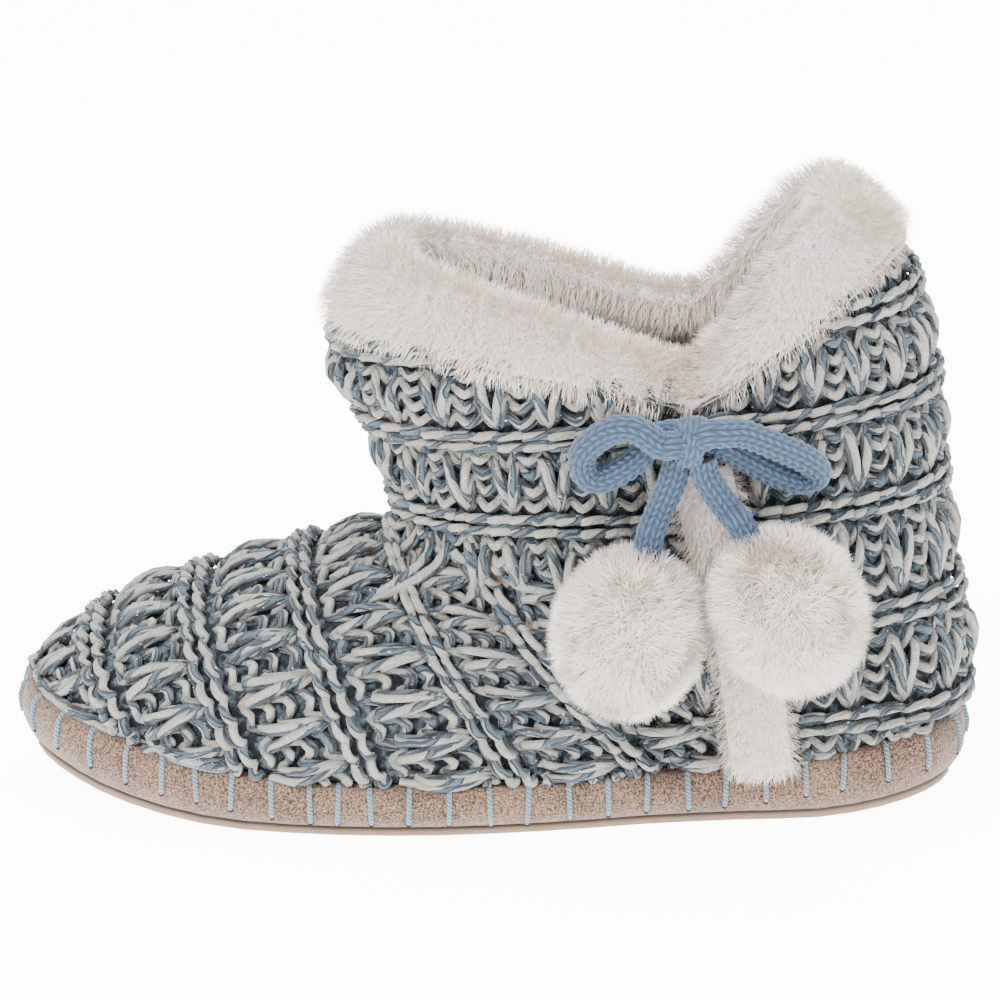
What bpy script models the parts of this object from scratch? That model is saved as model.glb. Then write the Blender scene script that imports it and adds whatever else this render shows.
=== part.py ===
"""Knitted ankle bootie slipper for the left foot, standing empty on its sole.

Lengths are metres. The toe points along -X and the heel along +X, the outer (lateral)
side of the foot faces -Y and +Z is up. The origin is on the floor, under the middle of
the sole's length. Tables hold shares of the named sizes that they follow.
"""

import math

import bmesh
import bpy
import numpy as np
from mathutils import Vector

# Sole
SOLE_LENGTH = 0.2556
BALL_WIDTH = 0.0955
HEEL_WIDTH = 0.0700
OUTSOLE_THICKNESS = 0.0020
OUTSOLE_SETBACK = 0.0040
FOAM_THICKNESS = 0.0120
FOAM_EDGE_ROUND = 0.0050
TOE_SPRING = 0.0120
HEEL_LIFT = 0.0050
INSOLE_THICKNESS = 0.0040
INSOLE_GAP = 0.0020

# Upper
KNIT_THICKNESS = 0.0040
FEATHER_SETBACK = 0.0015
TOE_SETBACK = 0.0033
SIDE_BULGE_HEIGHT = 0.0100
INSTEP_HEIGHT = 0.0575
SHAFT_HEIGHT = 0.1440
SHAFT_DEPTH = 0.1500
SHAFT_WIDTH = 0.0840
THROAT_SOFTNESS = 0.0050

# Fur
CUFF_THICKNESS = 0.0170
CUFF_SETBACK = 0.0060
CUFF_LEAN = 0.0090
CUFF_LOCK = 0.0022
STRIP_WIDTH = 0.0180
STRIP_THICKNESS = 0.0042
STRIP_EDGE_THICKNESS = 0.0018
STRIP_LOCK = 0.0010
POMPOM_WIDTH = 0.0415
POMPOM_LENGTH = 0.0470
POMPOM_LOCK = 0.0022

# Tie
CORD_DIAMETER = 0.0072
BAR_DIAMETER = 0.0060
BAR_LENGTH = 0.0110
KNOT_WIDTH = 0.0090
KNOT_DEPTH = 0.0120
KNOT_HEIGHT = 0.0130
KNOT_ROUND = 0.0022

# Gap between pieces that meet
CLEARANCE = 0.0003


def table(columns, *rows):
    """A short table with named columns and one row for each section or fold."""
    return {name: np.array([row[i] for row in rows]) for i, name in enumerate(columns)}


# Half widths of the sole as shares of its local width, from toe (0) to heel (1)
OUTLINE = table(
    ("along", "lateral", "medial"),
    (0.00, 0.430, 0.555),
    (0.10, 0.513, 0.565),
    (0.20, 0.526, 0.532),
    (0.30, 0.526, 0.503),
    (0.40, 0.515, 0.457),
    (0.50, 0.504, 0.412),
    (0.65, 0.509, 0.450),
    (0.75, 0.546, 0.533),
    (0.85, 0.614, 0.614),
    (1.00, 0.645, 0.645),
)
OUTLINE_ROUNDNESS = 0.375
HEEL_BLEND_START = 0.40
HEEL_BLEND_END = 0.85

# Where the sole leaves the floor, and how it curves up
TOE_SPRING_START = 0.25
HEEL_LIFT_START = 0.82
SPRING_CURVE = 1.8

# Thickness of the foam along the sole, as shares of its named thickness
FOAM_ALONG = table(
    ("along", "thick"),
    (0.00, 1.25),
    (0.10, 1.30),
    (0.20, 1.20),
    (0.35, 1.00),
    (0.55, 0.97),
    (0.70, 1.08),
    (0.85, 1.30),
    (0.93, 1.38),
    (1.00, 1.30),
)

# Side of the foam sole: share of its thickness and share of its edge rounding
FOAM_SIDE = table(
    ("up", "in"),
    (0.00, 1.00),
    (0.12, 0.40),
    (0.36, 0.06),
    (0.62, 0.00),
    (0.88, 0.20),
    (1.00, 0.50),
)

# Ridge line of the vamp above the sole, as shares of the instep's height
VAMP = table(
    ("along", "rise"),
    (0.000, 0.020),
    (0.013, 0.060),
    (0.026, 0.150),
    (0.040, 0.220),
    (0.083, 0.398),
    (0.136, 0.553),
    (0.189, 0.687),
    (0.242, 0.788),
    (0.295, 0.885),
    (0.347, 0.962),
    (0.395, 1.000),
    (0.550, 0.970),
    (0.700, 0.760),
    (0.850, 0.400),
    (1.000, 0.180),
)
TOE_SETBACK_END = 0.12
VAMP_SQUARENESS = 2.3
BULGE_SHARE_OF_RISE = 0.35

# Shaft: height above the sole as a share of the shaft's height; front and back edges as
# distances from the heel's end, shares of the shaft's depth; half width, share of its width
SHAFT = table(
    ("up", "front", "back", "half"),
    (0.042, 0.985, 0.006, 0.405),
    (0.146, 0.993, -0.015, 0.418),
    (0.250, 1.003, -0.007, 0.428),
    (0.333, 1.012, 0.017, 0.440),
    (0.441, 1.029, 0.030, 0.456),
    (0.500, 1.055, 0.037, 0.465),
    (0.583, 1.073, 0.047, 0.478),
    (0.623, 1.088, 0.051, 0.484),
    (0.656, 1.113, 0.053, 0.489),
    (0.694, 1.141, 0.057, 0.494),
    (0.743, 1.151, 0.063, 0.498),
    (0.875, 1.139, 0.093, 0.500),
    (1.014, 1.119, 0.149, 0.488),
)
SHAFT_SQUARENESS = 2.4

# Collar from the front (0) round to the back (1), alike on both sides: edge of the knit
# and crest of the fur above the sole, as shares of the shaft's height, and how far the
# cuff leans in over the foot, as a share of its named lean
COLLAR = table(
    ("around", "edge", "crest", "lean"),
    (0.00, 0.799, 0.963, 1.00),
    (0.15, 0.812, 0.970, 0.85),
    (0.25, 0.812, 0.949, 0.65),
    (0.36, 0.781, 0.904, 0.65),
    (0.44, 0.758, 0.862, 0.65),
    (0.51, 0.734, 0.821, 0.65),
    (0.56, 0.713, 0.807, 0.65),
    (0.60, 0.745, 0.859, 0.65),
    (0.64, 0.798, 0.956, 0.70),
    (0.70, 0.859, 1.040, 0.80),
    (0.78, 0.928, 1.074, 1.10),
    (0.88, 0.963, 1.081, 1.40),
    (1.00, 0.970, 1.067, 1.50),
)

# Soft folds of the knit: side (-1 lateral, 1 medial), place along the sole, height as a
# share of the shaft's, reach along and up as shares of the shaft's depth, and depth as a
# share of the knit's thickness
FOLDS = table(
    ("side", "along", "up", "reach", "tall", "depth"),
    (-1, 0.705, 0.665, 0.120, 0.130, 1.00),
    (-1, 0.480, 0.330, 0.150, 0.045, 0.40),
    (-1, 0.560, 0.560, 0.130, 0.060, 0.25),
    (-1, 0.860, 0.420, 0.090, 0.070, 0.30),
    (1, 0.480, 0.340, 0.150, 0.045, 0.40),
    (1, 0.690, 0.640, 0.140, 0.110, 0.55),
    (1, 0.860, 0.420, 0.090, 0.070, 0.30),
)

# Section of the fur cuff: share of half its thickness outwards, share of its height
CUFF_SECTION = table(
    ("out", "up"),
    (1.00, 0.16),
    (1.00, 0.45),
    (0.74, 0.78),
    (0.10, 1.00),
    (-0.60, 0.90),
    (-0.98, 0.60),
    (-1.00, 0.22),
    (-0.70, 0.00),
)

# Fur strip down the lateral side: place along the sole and height as a share of the shaft's
STRIP = table(
    ("up", "along"),
    (0.010, 0.780),
    (0.300, 0.758),
    (0.480, 0.728),
    (0.620, 0.712),
)

# Tie: place of its bar on the lateral side
TIE_ALONG = 0.701
TIE_UP = 0.655

# Routes of the cord, from the middle of the knot
LOOP_LEFT = (
    (-0.0052, -0.0042, 0.0004),
    (-0.0079, -0.0042, 0.0006),
    (-0.0144, -0.0032, 0.0043),
    (-0.0208, -0.0015, 0.0031),
    (-0.0263, 0.0000, -0.0015),
    (-0.0280, 0.0012, -0.0059),
    (-0.0264, 0.0022, -0.0102),
    (-0.0228, 0.0028, -0.0113),
    (-0.0176, 0.0032, -0.0089),
    (-0.0131, 0.0034, -0.0054),
    (-0.0100, 0.0035, -0.0014),
    (-0.0077, 0.0035, 0.0004),
    (-0.0052, 0.0035, 0.0008),
)
LOOP_RIGHT = (
    (0.0052, -0.0042, 0.0036),
    (0.0081, -0.0040, 0.0036),
    (0.0133, -0.0018, 0.0029),
    (0.0221, 0.0012, -0.0015),
    (0.0285, 0.0038, -0.0053),
    (0.0324, 0.0066, -0.0090),
    (0.0328, 0.0088, -0.0120),
    (0.0297, 0.0096, -0.0138),
    (0.0254, 0.0090, -0.0128),
    (0.0197, 0.0074, -0.0098),
    (0.0130, 0.0054, -0.0054),
    (0.0081, 0.0038, -0.0022),
    (0.0052, 0.0036, -0.0022),
)
END_LEFT = (
    (-0.0042, 0.0010, -0.0070),
    (-0.0044, 0.0010, -0.0105),
    (-0.0078, 0.0000, -0.0190),
)
END_RIGHT = (
    (0.0042, -0.0010, -0.0070),
    (0.0044, -0.0010, -0.0100),
    (0.0112, -0.0018, -0.0195),
)
POMPOM_LEFT = (-0.0155, -0.0084, -0.0494)
POMPOM_RIGHT = (0.0254, -0.0101, -0.0422)
POMPOM_LEFT_LEAN = (-0.208, -0.231, -0.950)
POMPOM_RIGHT_LEAN = (0.490, -0.220, -0.843)
STRAIGHT_INTO_POMPOM = (0.0270, 0.0230, 0.0026)
CORD_STEP = 0.0045

# Fineness of the faceted solids
SOLE_POINTS = 56
AROUND_POINTS = 60
OUTER_ROWS = 24
INNER_ROWS = 16
BEND_GATHER = 0.0100
STRIP_ROWS = 15
STRIP_COLUMNS = 5
POMPOM_SIDES = 20
POMPOM_RINGS = 9


def column_at(rows, key, name, at):
    """Smooth curve through one column of a table, which never overshoots its rows."""
    place, value = rows[key], rows[name]
    at = np.clip(at, place[0], place[-1])
    step = np.diff(place)
    slope = np.diff(value) / step
    same = slope[:-1] * slope[1:] > 0
    total = np.where(same, slope[:-1] + slope[1:], 1.0)
    inner = np.where(same, 2 * slope[:-1] * slope[1:] / total, 0.0)
    lean = np.concatenate((slope[:1], inner, slope[-1:]))
    i = np.clip(np.searchsorted(place, at) - 1, 0, len(place) - 2)
    t = (at - place[i]) / step[i]
    return (
        (1 + 2 * t) * (1 - t) ** 2 * value[i]
        + t * (1 - t) ** 2 * step[i] * lean[i]
        + t**2 * (3 - 2 * t) * value[i + 1]
        + t**2 * (t - 1) * step[i] * lean[i + 1]
    )


def smooth_step(start, end, at):
    t = np.clip((at - start) / (end - start), 0.0, 1.0)
    return t * t * (3 - 2 * t)


def share_along(x):
    """0 at the toe's end of the sole, 1 at the heel's."""
    return x / SOLE_LENGTH + 0.5


def place_along(share):
    return (share - 0.5) * SOLE_LENGTH


def half_width(x, side, inset):
    """Half width of the sole's outline at x, drawn in by an inset, on either side."""
    share = share_along(x)
    heel = smooth_step(HEEL_BLEND_START, HEEL_BLEND_END, share)
    width = BALL_WIDTH * (1 - heel) + HEEL_WIDTH * heel
    lateral = column_at(OUTLINE, "along", "lateral", share)
    medial = column_at(OUTLINE, "along", "medial", share)
    full = width * np.where(side < 0, lateral, medial) - inset
    half_length = SOLE_LENGTH / 2 - inset
    return full * np.clip(1 - (x / half_length) ** 2, 0.0, 1.0) ** OUTLINE_ROUNDNESS


def ground(x):
    """Underside of the sole: flat on the floor, sprung at the toe, lifted at the heel."""
    share = share_along(x)
    toe = np.clip(1 - share / TOE_SPRING_START, 0.0, 1.0) ** SPRING_CURVE
    heel = np.clip((share - HEEL_LIFT_START) / (1 - HEEL_LIFT_START), 0.0, 1.0) ** SPRING_CURVE
    return TOE_SPRING * toe + HEEL_LIFT * heel


def foam_thickness(x):
    return FOAM_THICKNESS * column_at(FOAM_ALONG, "along", "thick", share_along(x))


def sole_top(x):
    return ground(x) + OUTSOLE_THICKNESS + CLEARANCE + foam_thickness(x)


def foot_field(p):
    """Below zero inside the vamp and the sides of the foot, about metres from the skin."""
    x, y, z = p[..., 0], p[..., 1], p[..., 2]
    top = sole_top(x)
    rise = INSTEP_HEIGHT * column_at(VAMP, "along", "rise", share_along(x))
    bulge = np.minimum(SIDE_BULGE_HEIGHT, BULGE_SHARE_OF_RISE * rise)
    below = np.clip(1 - (z - top) / bulge, 0.0, 1.0)
    toe = 1 - smooth_step(0.0, TOE_SETBACK_END, share_along(x))
    inset = FEATHER_SETBACK * below**2 + TOE_SETBACK * toe
    width = np.maximum(half_width(x, y, inset), 1e-5)
    height = np.maximum(rise - bulge, 1e-5)
    over = np.clip(z - top - bulge, 0.0, None) / height
    across = np.abs(y) / width
    power = VAMP_SQUARENESS
    radius = np.maximum((across**power + over**power) ** (1 / power), 1e-6)
    growth = np.hypot((across / radius) ** (power - 1) / width, (over / radius) ** (power - 1) / height)
    skin = np.maximum((radius - 1) / np.maximum(growth, 1e-6), (over - 1) * height)
    return np.maximum(skin, np.abs(x) - (SOLE_LENGTH / 2 - inset))


def shaft_section(z):
    """Middle, half depth and half width of the shaft at a height."""
    up = (z - sole_top(0.0)) / SHAFT_HEIGHT
    heel_end = SOLE_LENGTH / 2
    front = heel_end - SHAFT_DEPTH * column_at(SHAFT, "up", "front", up)
    back = heel_end - SHAFT_DEPTH * column_at(SHAFT, "up", "back", up)
    half = SHAFT_WIDTH * column_at(SHAFT, "up", "half", up)
    return (front + back) / 2, (back - front) / 2, half


def shaft_field(p):
    middle, depth, half = shaft_section(p[..., 2])
    along = np.abs(p[..., 0] - middle) / depth
    across = np.abs(p[..., 1]) / half
    radius = (along**SHAFT_SQUARENESS + across**SHAFT_SQUARENESS) ** (1 / SHAFT_SQUARENESS)
    return (radius - 1) * half


def fold_field(p):
    """How far the soft folds draw the knit in."""
    x, y, z = p[..., 0], p[..., 1], p[..., 2]
    drawn = np.zeros_like(x)
    for i in range(len(FOLDS["side"])):
        fold = {name: values[i] for name, values in FOLDS.items()}
        dx = (x - place_along(fold["along"])) / (fold["reach"] * SHAFT_DEPTH)
        dz = (z - sole_top(0.0) - fold["up"] * SHAFT_HEIGHT) / (fold["tall"] * SHAFT_DEPTH)
        facing = smooth_step(0.0, SHAFT_WIDTH / 4, y * fold["side"])
        drawn += fold["depth"] * KNIT_THICKNESS * facing * np.exp(-(dx**2) - dz**2)
    return drawn


def boot_field(p):
    """The knit's outer skin: foot and shaft run together with a soft throat."""
    foot, shaft = foot_field(p), shaft_field(p)
    mix = np.clip(0.5 + 0.5 * (shaft - foot) / THROAT_SOFTNESS, 0.0, 1.0)
    joined = shaft * (1 - mix) + foot * mix - THROAT_SOFTNESS * mix * (1 - mix)
    return joined + fold_field(p)


def skin_along(origin, direction):
    """Points where rays from inside the boot leave its skin."""
    reach = 1.3 * SOLE_LENGTH
    steps = np.linspace(0.0, reach, 90)
    probe = origin[..., None, :] + direction[..., None, :] * steps[:, None]
    outside = boot_field(probe) > 0
    outside[..., 0] = False
    first = np.where(outside.any(axis=-1), outside.argmax(axis=-1), len(steps) - 1)
    near, far = steps[first - 1], steps[first]
    for _ in range(26):
        middle = (near + far) / 2
        out = boot_field(origin + direction * middle[..., None]) > 0
        near, far = np.where(out, near, middle), np.where(out, middle, far)
    return origin + direction * ((near + far) / 2)[..., None]


def skin_normal(p):
    step = 0.0004
    slopes = [
        boot_field(p + step * axis) - boot_field(p - step * axis) for axis in np.eye(3)
    ]
    n = np.stack(slopes, axis=-1)
    return n / np.linalg.norm(n, axis=-1, keepdims=True)


def level(n):
    """A direction with its upward share taken out."""
    flat = n * np.array((1.0, 1.0, 0.0))
    return flat / np.linalg.norm(flat, axis=-1, keepdims=True)


def round_collar(p):
    """Place round the collar, 0 at the front and 1 at the back, the same on both sides."""
    middle, depth, half = shaft_section(p[..., 2])
    return np.arctan2(np.abs(p[..., 1]) / half, (middle - p[..., 0]) / depth) / math.pi


def collar_height(p, name):
    return sole_top(0.0) + SHAFT_HEIGHT * column_at(COLLAR, "around", name, round_collar(p))


def resampled(line, count, gather=0.0):
    """Points spaced along a polyline, gathered by a length for each radian that it bends."""
    step = np.diff(line, axis=0)
    length = np.linalg.norm(step, axis=1)
    heading = step / np.maximum(length, 1e-9)[:, None]
    bend = np.arccos(np.clip((heading[1:] * heading[:-1]).sum(axis=1), -1.0, 1.0))
    length[1:] += gather * bend
    run = np.concatenate(((0.0,), np.cumsum(length)))
    at = np.linspace(0.0, run[-1], count)
    return np.stack([np.interp(at, run, line[:, i]) for i in range(3)], axis=1)


def outline_ring(inset, count, toe_setback=0.0):
    """Points round the sole's outline from the toe, lateral side first."""
    turn = np.arange(count) * 2 * math.pi / count
    x = -(SOLE_LENGTH / 2 - inset) * np.cos(turn)
    side = np.where(np.sin(turn) >= 0, -1.0, 1.0)
    y = side * half_width(x, side, inset)
    drawn_back = np.where(x < 0, 1 - toe_setback / (SOLE_LENGTH / 2), 1.0)
    return np.stack((x * drawn_back, y), axis=1)


def meridian_directions():
    """Plan directions of the upper's rows, between even steps of outline and of turn."""
    centre = place_along(0.676)
    fine = outline_ring(FEATHER_SETBACK, 720)
    loop = np.vstack((fine, fine[:1]))
    run = np.concatenate(((0.0,), np.cumsum(np.linalg.norm(np.diff(loop, axis=0), axis=1))))
    turn = np.unwrap(np.arctan2(loop[:, 1], loop[:, 0] - centre))
    turn += math.pi - turn[0]
    share = np.arange(AROUND_POINTS) / AROUND_POINTS
    by_outline = np.interp(share * run[-1], run, turn)
    by_turn = math.pi + 2 * math.pi * share
    return 0.6 * by_outline + 0.4 * by_turn


def cut_between(line, low, high):
    """The stretch of a polyline from where low passes zero to where high does."""
    start = int(np.argmax(low > 0))
    stop = int(np.argmax((high > 0) & (np.arange(len(high)) > start)))
    t = low[start] / (low[start] - low[start - 1])
    first = line[start] + (line[start - 1] - line[start]) * t
    t = high[stop] / (high[stop] - high[stop - 1])
    last = line[stop] + (line[stop - 1] - line[stop]) * t
    return np.vstack((first, line[start:stop], last))


def upper_rows():
    """Outer and inner rows of the upper, from the sole's edge up to the collar."""
    centre = np.array((place_along(0.676), 0.0, sole_top(0.0) + SIDE_BULGE_HEIGHT / 2))
    turn = meridian_directions()
    climb = np.radians(np.linspace(-25.0, 82.0, 215))
    flat = np.stack((np.cos(turn), np.sin(turn), np.zeros_like(turn)), axis=1)
    direction = flat[:, None, :] * np.cos(climb)[None, :, None]
    direction[..., 2] = np.sin(climb)
    skin = skin_along(np.broadcast_to(centre, direction.shape), direction)
    lines = []
    for line in skin:
        low = line[:, 2] - sole_top(line[:, 0]) - CLEARANCE
        high = line[:, 2] - collar_height(line, "edge")
        lines.append(resampled(cut_between(line, low, high), OUTER_ROWS, BEND_GATHER))
    outer = np.array(lines)
    outer[:, 0, 2] = sole_top(outer[:, 0, 0]) + CLEARANCE
    inward = skin_normal(outer)
    inward[:, 0] = level(inward[:, 0])
    inward[:, -1] = level(inward[:, -1])
    inner = outer - KNIT_THICKNESS * inward
    inner[:, 0, 2] = sole_top(inner[:, 0, 0]) + CLEARANCE
    kept = np.round(np.linspace(0, OUTER_ROWS - 1, INNER_ROWS)).astype(int)
    return outer, inner[:, kept]


def make_material(name, colour, roughness):
    material = bpy.data.materials.new(name)
    material.use_nodes = True
    shader = material.node_tree.nodes["Principled BSDF"]
    shader.inputs["Base Color"].default_value = (*colour, 1.0)
    shader.inputs["Roughness"].default_value = roughness
    shader.inputs["Metallic"].default_value = 0.0
    return material


def make_object(name, points, faces, material):
    """A closed mesh with its faces pointing out."""
    mesh = bpy.data.meshes.new(name)
    mesh.from_pydata([tuple(p) for p in points], [], faces)
    piece = bpy.data.objects.new(name, mesh)
    bpy.context.scene.collection.objects.link(piece)
    face_outwards(mesh)
    mesh.materials.append(material)
    mesh.shade_smooth()
    mesh.set_sharp_from_angle(angle=math.radians(40))
    return piece


def face_outwards(mesh):
    shape = bmesh.new()
    shape.from_mesh(mesh)
    bmesh.ops.recalc_face_normals(shape, faces=shape.faces)
    shape.to_mesh(mesh)
    shape.free()


def ring_faces(first, second):
    """Quads between two closed rings of point numbers."""
    count = len(first)
    return [
        (first[i], first[(i + 1) % count], second[(i + 1) % count], second[i])
        for i in range(count)
    ]


def ladder_faces(ring):
    """A cap whose rungs run straight across the sole, so that it follows its curve."""
    count = len(ring)
    faces = [(ring[0], ring[1], ring[-1])]
    for i in range(1, count // 2 - 1):
        faces.append((ring[i], ring[i + 1], ring[count - i - 1], ring[count - i]))
    half = count // 2
    faces.append((ring[half - 1], ring[half], ring[half + 1]))
    return faces


def sole_layer(name, levels, material, toe_setback=0.0):
    """A layer of the sole, lowest level first, from levels of (inset, height over the
    underside, share of the foam's thickness added to that height)."""
    points, rings = [], []
    for inset, height, foam in levels:
        ring = outline_ring(inset, SOLE_POINTS, toe_setback)
        rings.append(list(range(len(points), len(points) + SOLE_POINTS)))
        points += [(x, y, ground(x) + height + foam * foam_thickness(x)) for x, y in ring]
    faces = ladder_faces(rings[0]) + ladder_faces(rings[-1])
    for lower, upper in zip(rings, rings[1:]):
        faces += ring_faces(lower, upper)
    return make_object(name, points, faces, material)


def closed_sleeve(name, rings, material):
    """Rings of points joined one after the other, and the last one back to the first."""
    points = [p for ring in rings for p in ring]
    count = len(rings[0])
    numbers = [list(range(i * count, (i + 1) * count)) for i in range(len(rings))]
    faces = []
    for i in range(len(rings)):
        faces += ring_faces(numbers[i], numbers[(i + 1) % len(rings)])
    return make_object(name, points, faces, material)


def raise_locks(piece, height, chosen, comb):
    """Fuses a pointed lock of fur onto each chosen face, combed in one direction."""
    shape = bmesh.new()
    shape.from_mesh(piece.data)
    shape.normal_update()
    faces = [face for face in shape.faces if chosen(face)]
    tips = []
    for number, face in enumerate(faces):
        normal = face.normal.copy()
        along = comb - normal * comb.dot(normal)
        wave = 0.7 + 0.3 * math.sin(2.4 * number)
        tips.append(face.calc_center_median() + height * (normal * wave + along * 0.8))
    poked = bmesh.ops.poke(shape, faces=faces)
    for vert, tip in zip(poked["verts"], tips):
        vert.co = tip
    shape.to_mesh(piece.data)
    shape.free()
    piece.data.set_sharp_from_angle(angle=math.radians(70))


def make_outsole():
    rubber = make_material("pale_rubber", (0.62, 0.52, 0.42), 0.7)
    levels = (
        (OUTSOLE_SETBACK + OUTSOLE_THICKNESS / 4, 0.0, 0.0),
        (OUTSOLE_SETBACK, OUTSOLE_THICKNESS / 4, 0.0),
        (OUTSOLE_SETBACK, OUTSOLE_THICKNESS, 0.0),
    )
    return sole_layer("outsole", levels, rubber)


def make_foam_sole():
    suede = make_material("tan_suede", (0.50, 0.36, 0.28), 0.95)
    base = OUTSOLE_THICKNESS + CLEARANCE
    levels = [
        (FOAM_EDGE_ROUND * drawn_in, base, up)
        for up, drawn_in in zip(FOAM_SIDE["up"], FOAM_SIDE["in"])
    ]
    return sole_layer("sole_body", levels, suede)


def make_insole():
    plush = make_material("cream_plush", (0.80, 0.74, 0.66), 0.95)
    inset = FEATHER_SETBACK + KNIT_THICKNESS + INSOLE_GAP
    base = OUTSOLE_THICKNESS + 2 * CLEARANCE
    levels = (
        (inset, base, 1.0),
        (inset, base + INSOLE_THICKNESS * 0.6, 1.0),
        (inset + INSOLE_THICKNESS * 0.4, base + INSOLE_THICKNESS, 1.0),
    )
    return sole_layer("insole", levels, plush, TOE_SETBACK)


def make_upper(outer, inner):
    knit = make_material("marled_knit", (0.52, 0.58, 0.60), 0.9)
    rings = [outer[:, i] for i in range(outer.shape[1])]
    rings += [inner[:, i] for i in reversed(range(inner.shape[1]))]
    return closed_sleeve("upper", rings, knit)


def make_cuff(edge):
    """Rolled fur cuff, whose sections stand on the edge of the knit."""
    fur = make_material("cream_fur", (0.84, 0.80, 0.75), 0.95)
    outward = level(skin_normal(edge))
    height = collar_height(edge, "crest") - edge[:, 2] - CLEARANCE
    lean = CUFF_LEAN * column_at(COLLAR, "around", "lean", round_collar(edge))
    lift = np.array((0.0, 0.0, 1.0))
    rings = []
    for out, up in zip(CUFF_SECTION["out"], CUFF_SECTION["up"]):
        offset = out * CUFF_THICKNESS / 2 - CUFF_SETBACK - KNIT_THICKNESS / 2 - lean * up
        rise = 2 * CLEARANCE + up * height
        rings.append(edge + outward * offset[:, None] + lift * rise[:, None])
    for offset in (-KNIT_THICKNESS, 0.0):
        rings.append(edge + outward * offset + lift * 2 * CLEARANCE)
    piece = closed_sleeve("fur_cuff", rings, fur)
    raise_locks(piece, CUFF_LOCK, lambda face: face.normal.z > -0.75, Vector((0.0, 0.0, -1.0)))
    return piece


def make_side_strip():
    """Fur strip down the lateral side, its back on the knit."""
    fur = bpy.data.materials["cream_fur"]
    up = np.linspace(STRIP["up"][0], STRIP["up"][-1], STRIP_ROWS)
    across = np.linspace(-1.0, 1.0, STRIP_COLUMNS)
    z = sole_top(0.0) + 2 * CLEARANCE + SHAFT_HEIGHT * up
    x = place_along(column_at(STRIP, "up", "along", up))
    origin = np.zeros((STRIP_ROWS, STRIP_COLUMNS, 3))
    origin[..., 0] = x[:, None] + across[None, :] * STRIP_WIDTH / 2
    origin[..., 2] = z[:, None]
    skin = skin_along(origin, np.broadcast_to(np.array((0.0, -1.0, 0.0)), origin.shape))
    normal = skin_normal(skin)
    crown = STRIP_THICKNESS - STRIP_EDGE_THICKNESS
    thick = STRIP_EDGE_THICKNESS + crown * (1 - across**2)
    back = skin + 2 * CLEARANCE * normal
    front = skin + (2 * CLEARANCE + thick[None, :, None]) * normal
    rings = []
    for i in range(STRIP_ROWS):
        rings.append(list(front[i]) + list(reversed(back[i])))
    points = [p for ring in rings for p in ring]
    count = 2 * STRIP_COLUMNS
    numbers = [list(range(i * count, (i + 1) * count)) for i in range(STRIP_ROWS)]
    faces = []
    for lower, upper in zip(numbers, numbers[1:]):
        faces += ring_faces(lower, upper)
    for ring in (numbers[0], numbers[-1]):
        for i in range(STRIP_COLUMNS - 1):
            faces.append((ring[i], ring[i + 1], ring[count - i - 2], ring[count - i - 1]))
    piece = make_object("side_strip", points, faces, fur)
    raise_locks(piece, STRIP_LOCK, lambda face: face.normal.y < -0.5, Vector((0.0, 0.0, -1.0)))
    return piece


def cord_line(route):
    """Points along a smooth curve through a route, whose first and last steps are straight."""
    first, *inner, last = route
    ends = [first, *inner, last]
    fine = []
    for before, start, stop, after in zip(ends, ends[1:], ends[2:], ends[3:]):
        for t in np.linspace(0.0, 1.0, 12, endpoint=False):
            fine.append(
                0.5
                * (
                    2 * start
                    + (stop - before) * t
                    + (2 * before - 5 * start + 4 * stop - after) * t**2
                    + (3 * start - before - 3 * stop + after) * t**3
                )
            )
    fine.append(inner[-1])
    length = sum((b - a).length for a, b in zip(fine, fine[1:]))
    line = resampled(np.array(fine), max(2, round(length / CORD_STEP)))
    return np.vstack((first, line, last))


def make_cord(name, route, diameter, material):
    curve = bpy.data.curves.new(name, "CURVE")
    curve.dimensions = "3D"
    curve.bevel_depth = diameter / 2
    curve.bevel_resolution = 3
    curve.use_fill_caps = True
    line = cord_line(route)
    spline = curve.splines.new("POLY")
    spline.points.add(len(line) - 1)
    for point, place in zip(spline.points, line):
        point.co = (*place, 1.0)
    curve.materials.append(material)
    piece = bpy.data.objects.new(name, curve)
    bpy.context.scene.collection.objects.link(piece)
    return piece


def make_knot(centre, material):
    mesh = bpy.data.meshes.new("knot")
    shape = bmesh.new()
    bmesh.ops.create_cube(shape, size=1.0)
    bmesh.ops.scale(shape, vec=(KNOT_WIDTH, KNOT_DEPTH, KNOT_HEIGHT), verts=shape.verts)
    bmesh.ops.bevel(
        shape,
        geom=list(shape.edges),
        offset=KNOT_ROUND,
        segments=2,
        profile=0.6,
        affect="EDGES",
        clamp_overlap=True,
    )
    bmesh.ops.translate(shape, vec=centre, verts=shape.verts)
    shape.to_mesh(mesh)
    shape.free()
    mesh.materials.append(material)
    piece = bpy.data.objects.new("knot", mesh)
    bpy.context.scene.collection.objects.link(piece)
    return piece


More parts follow.
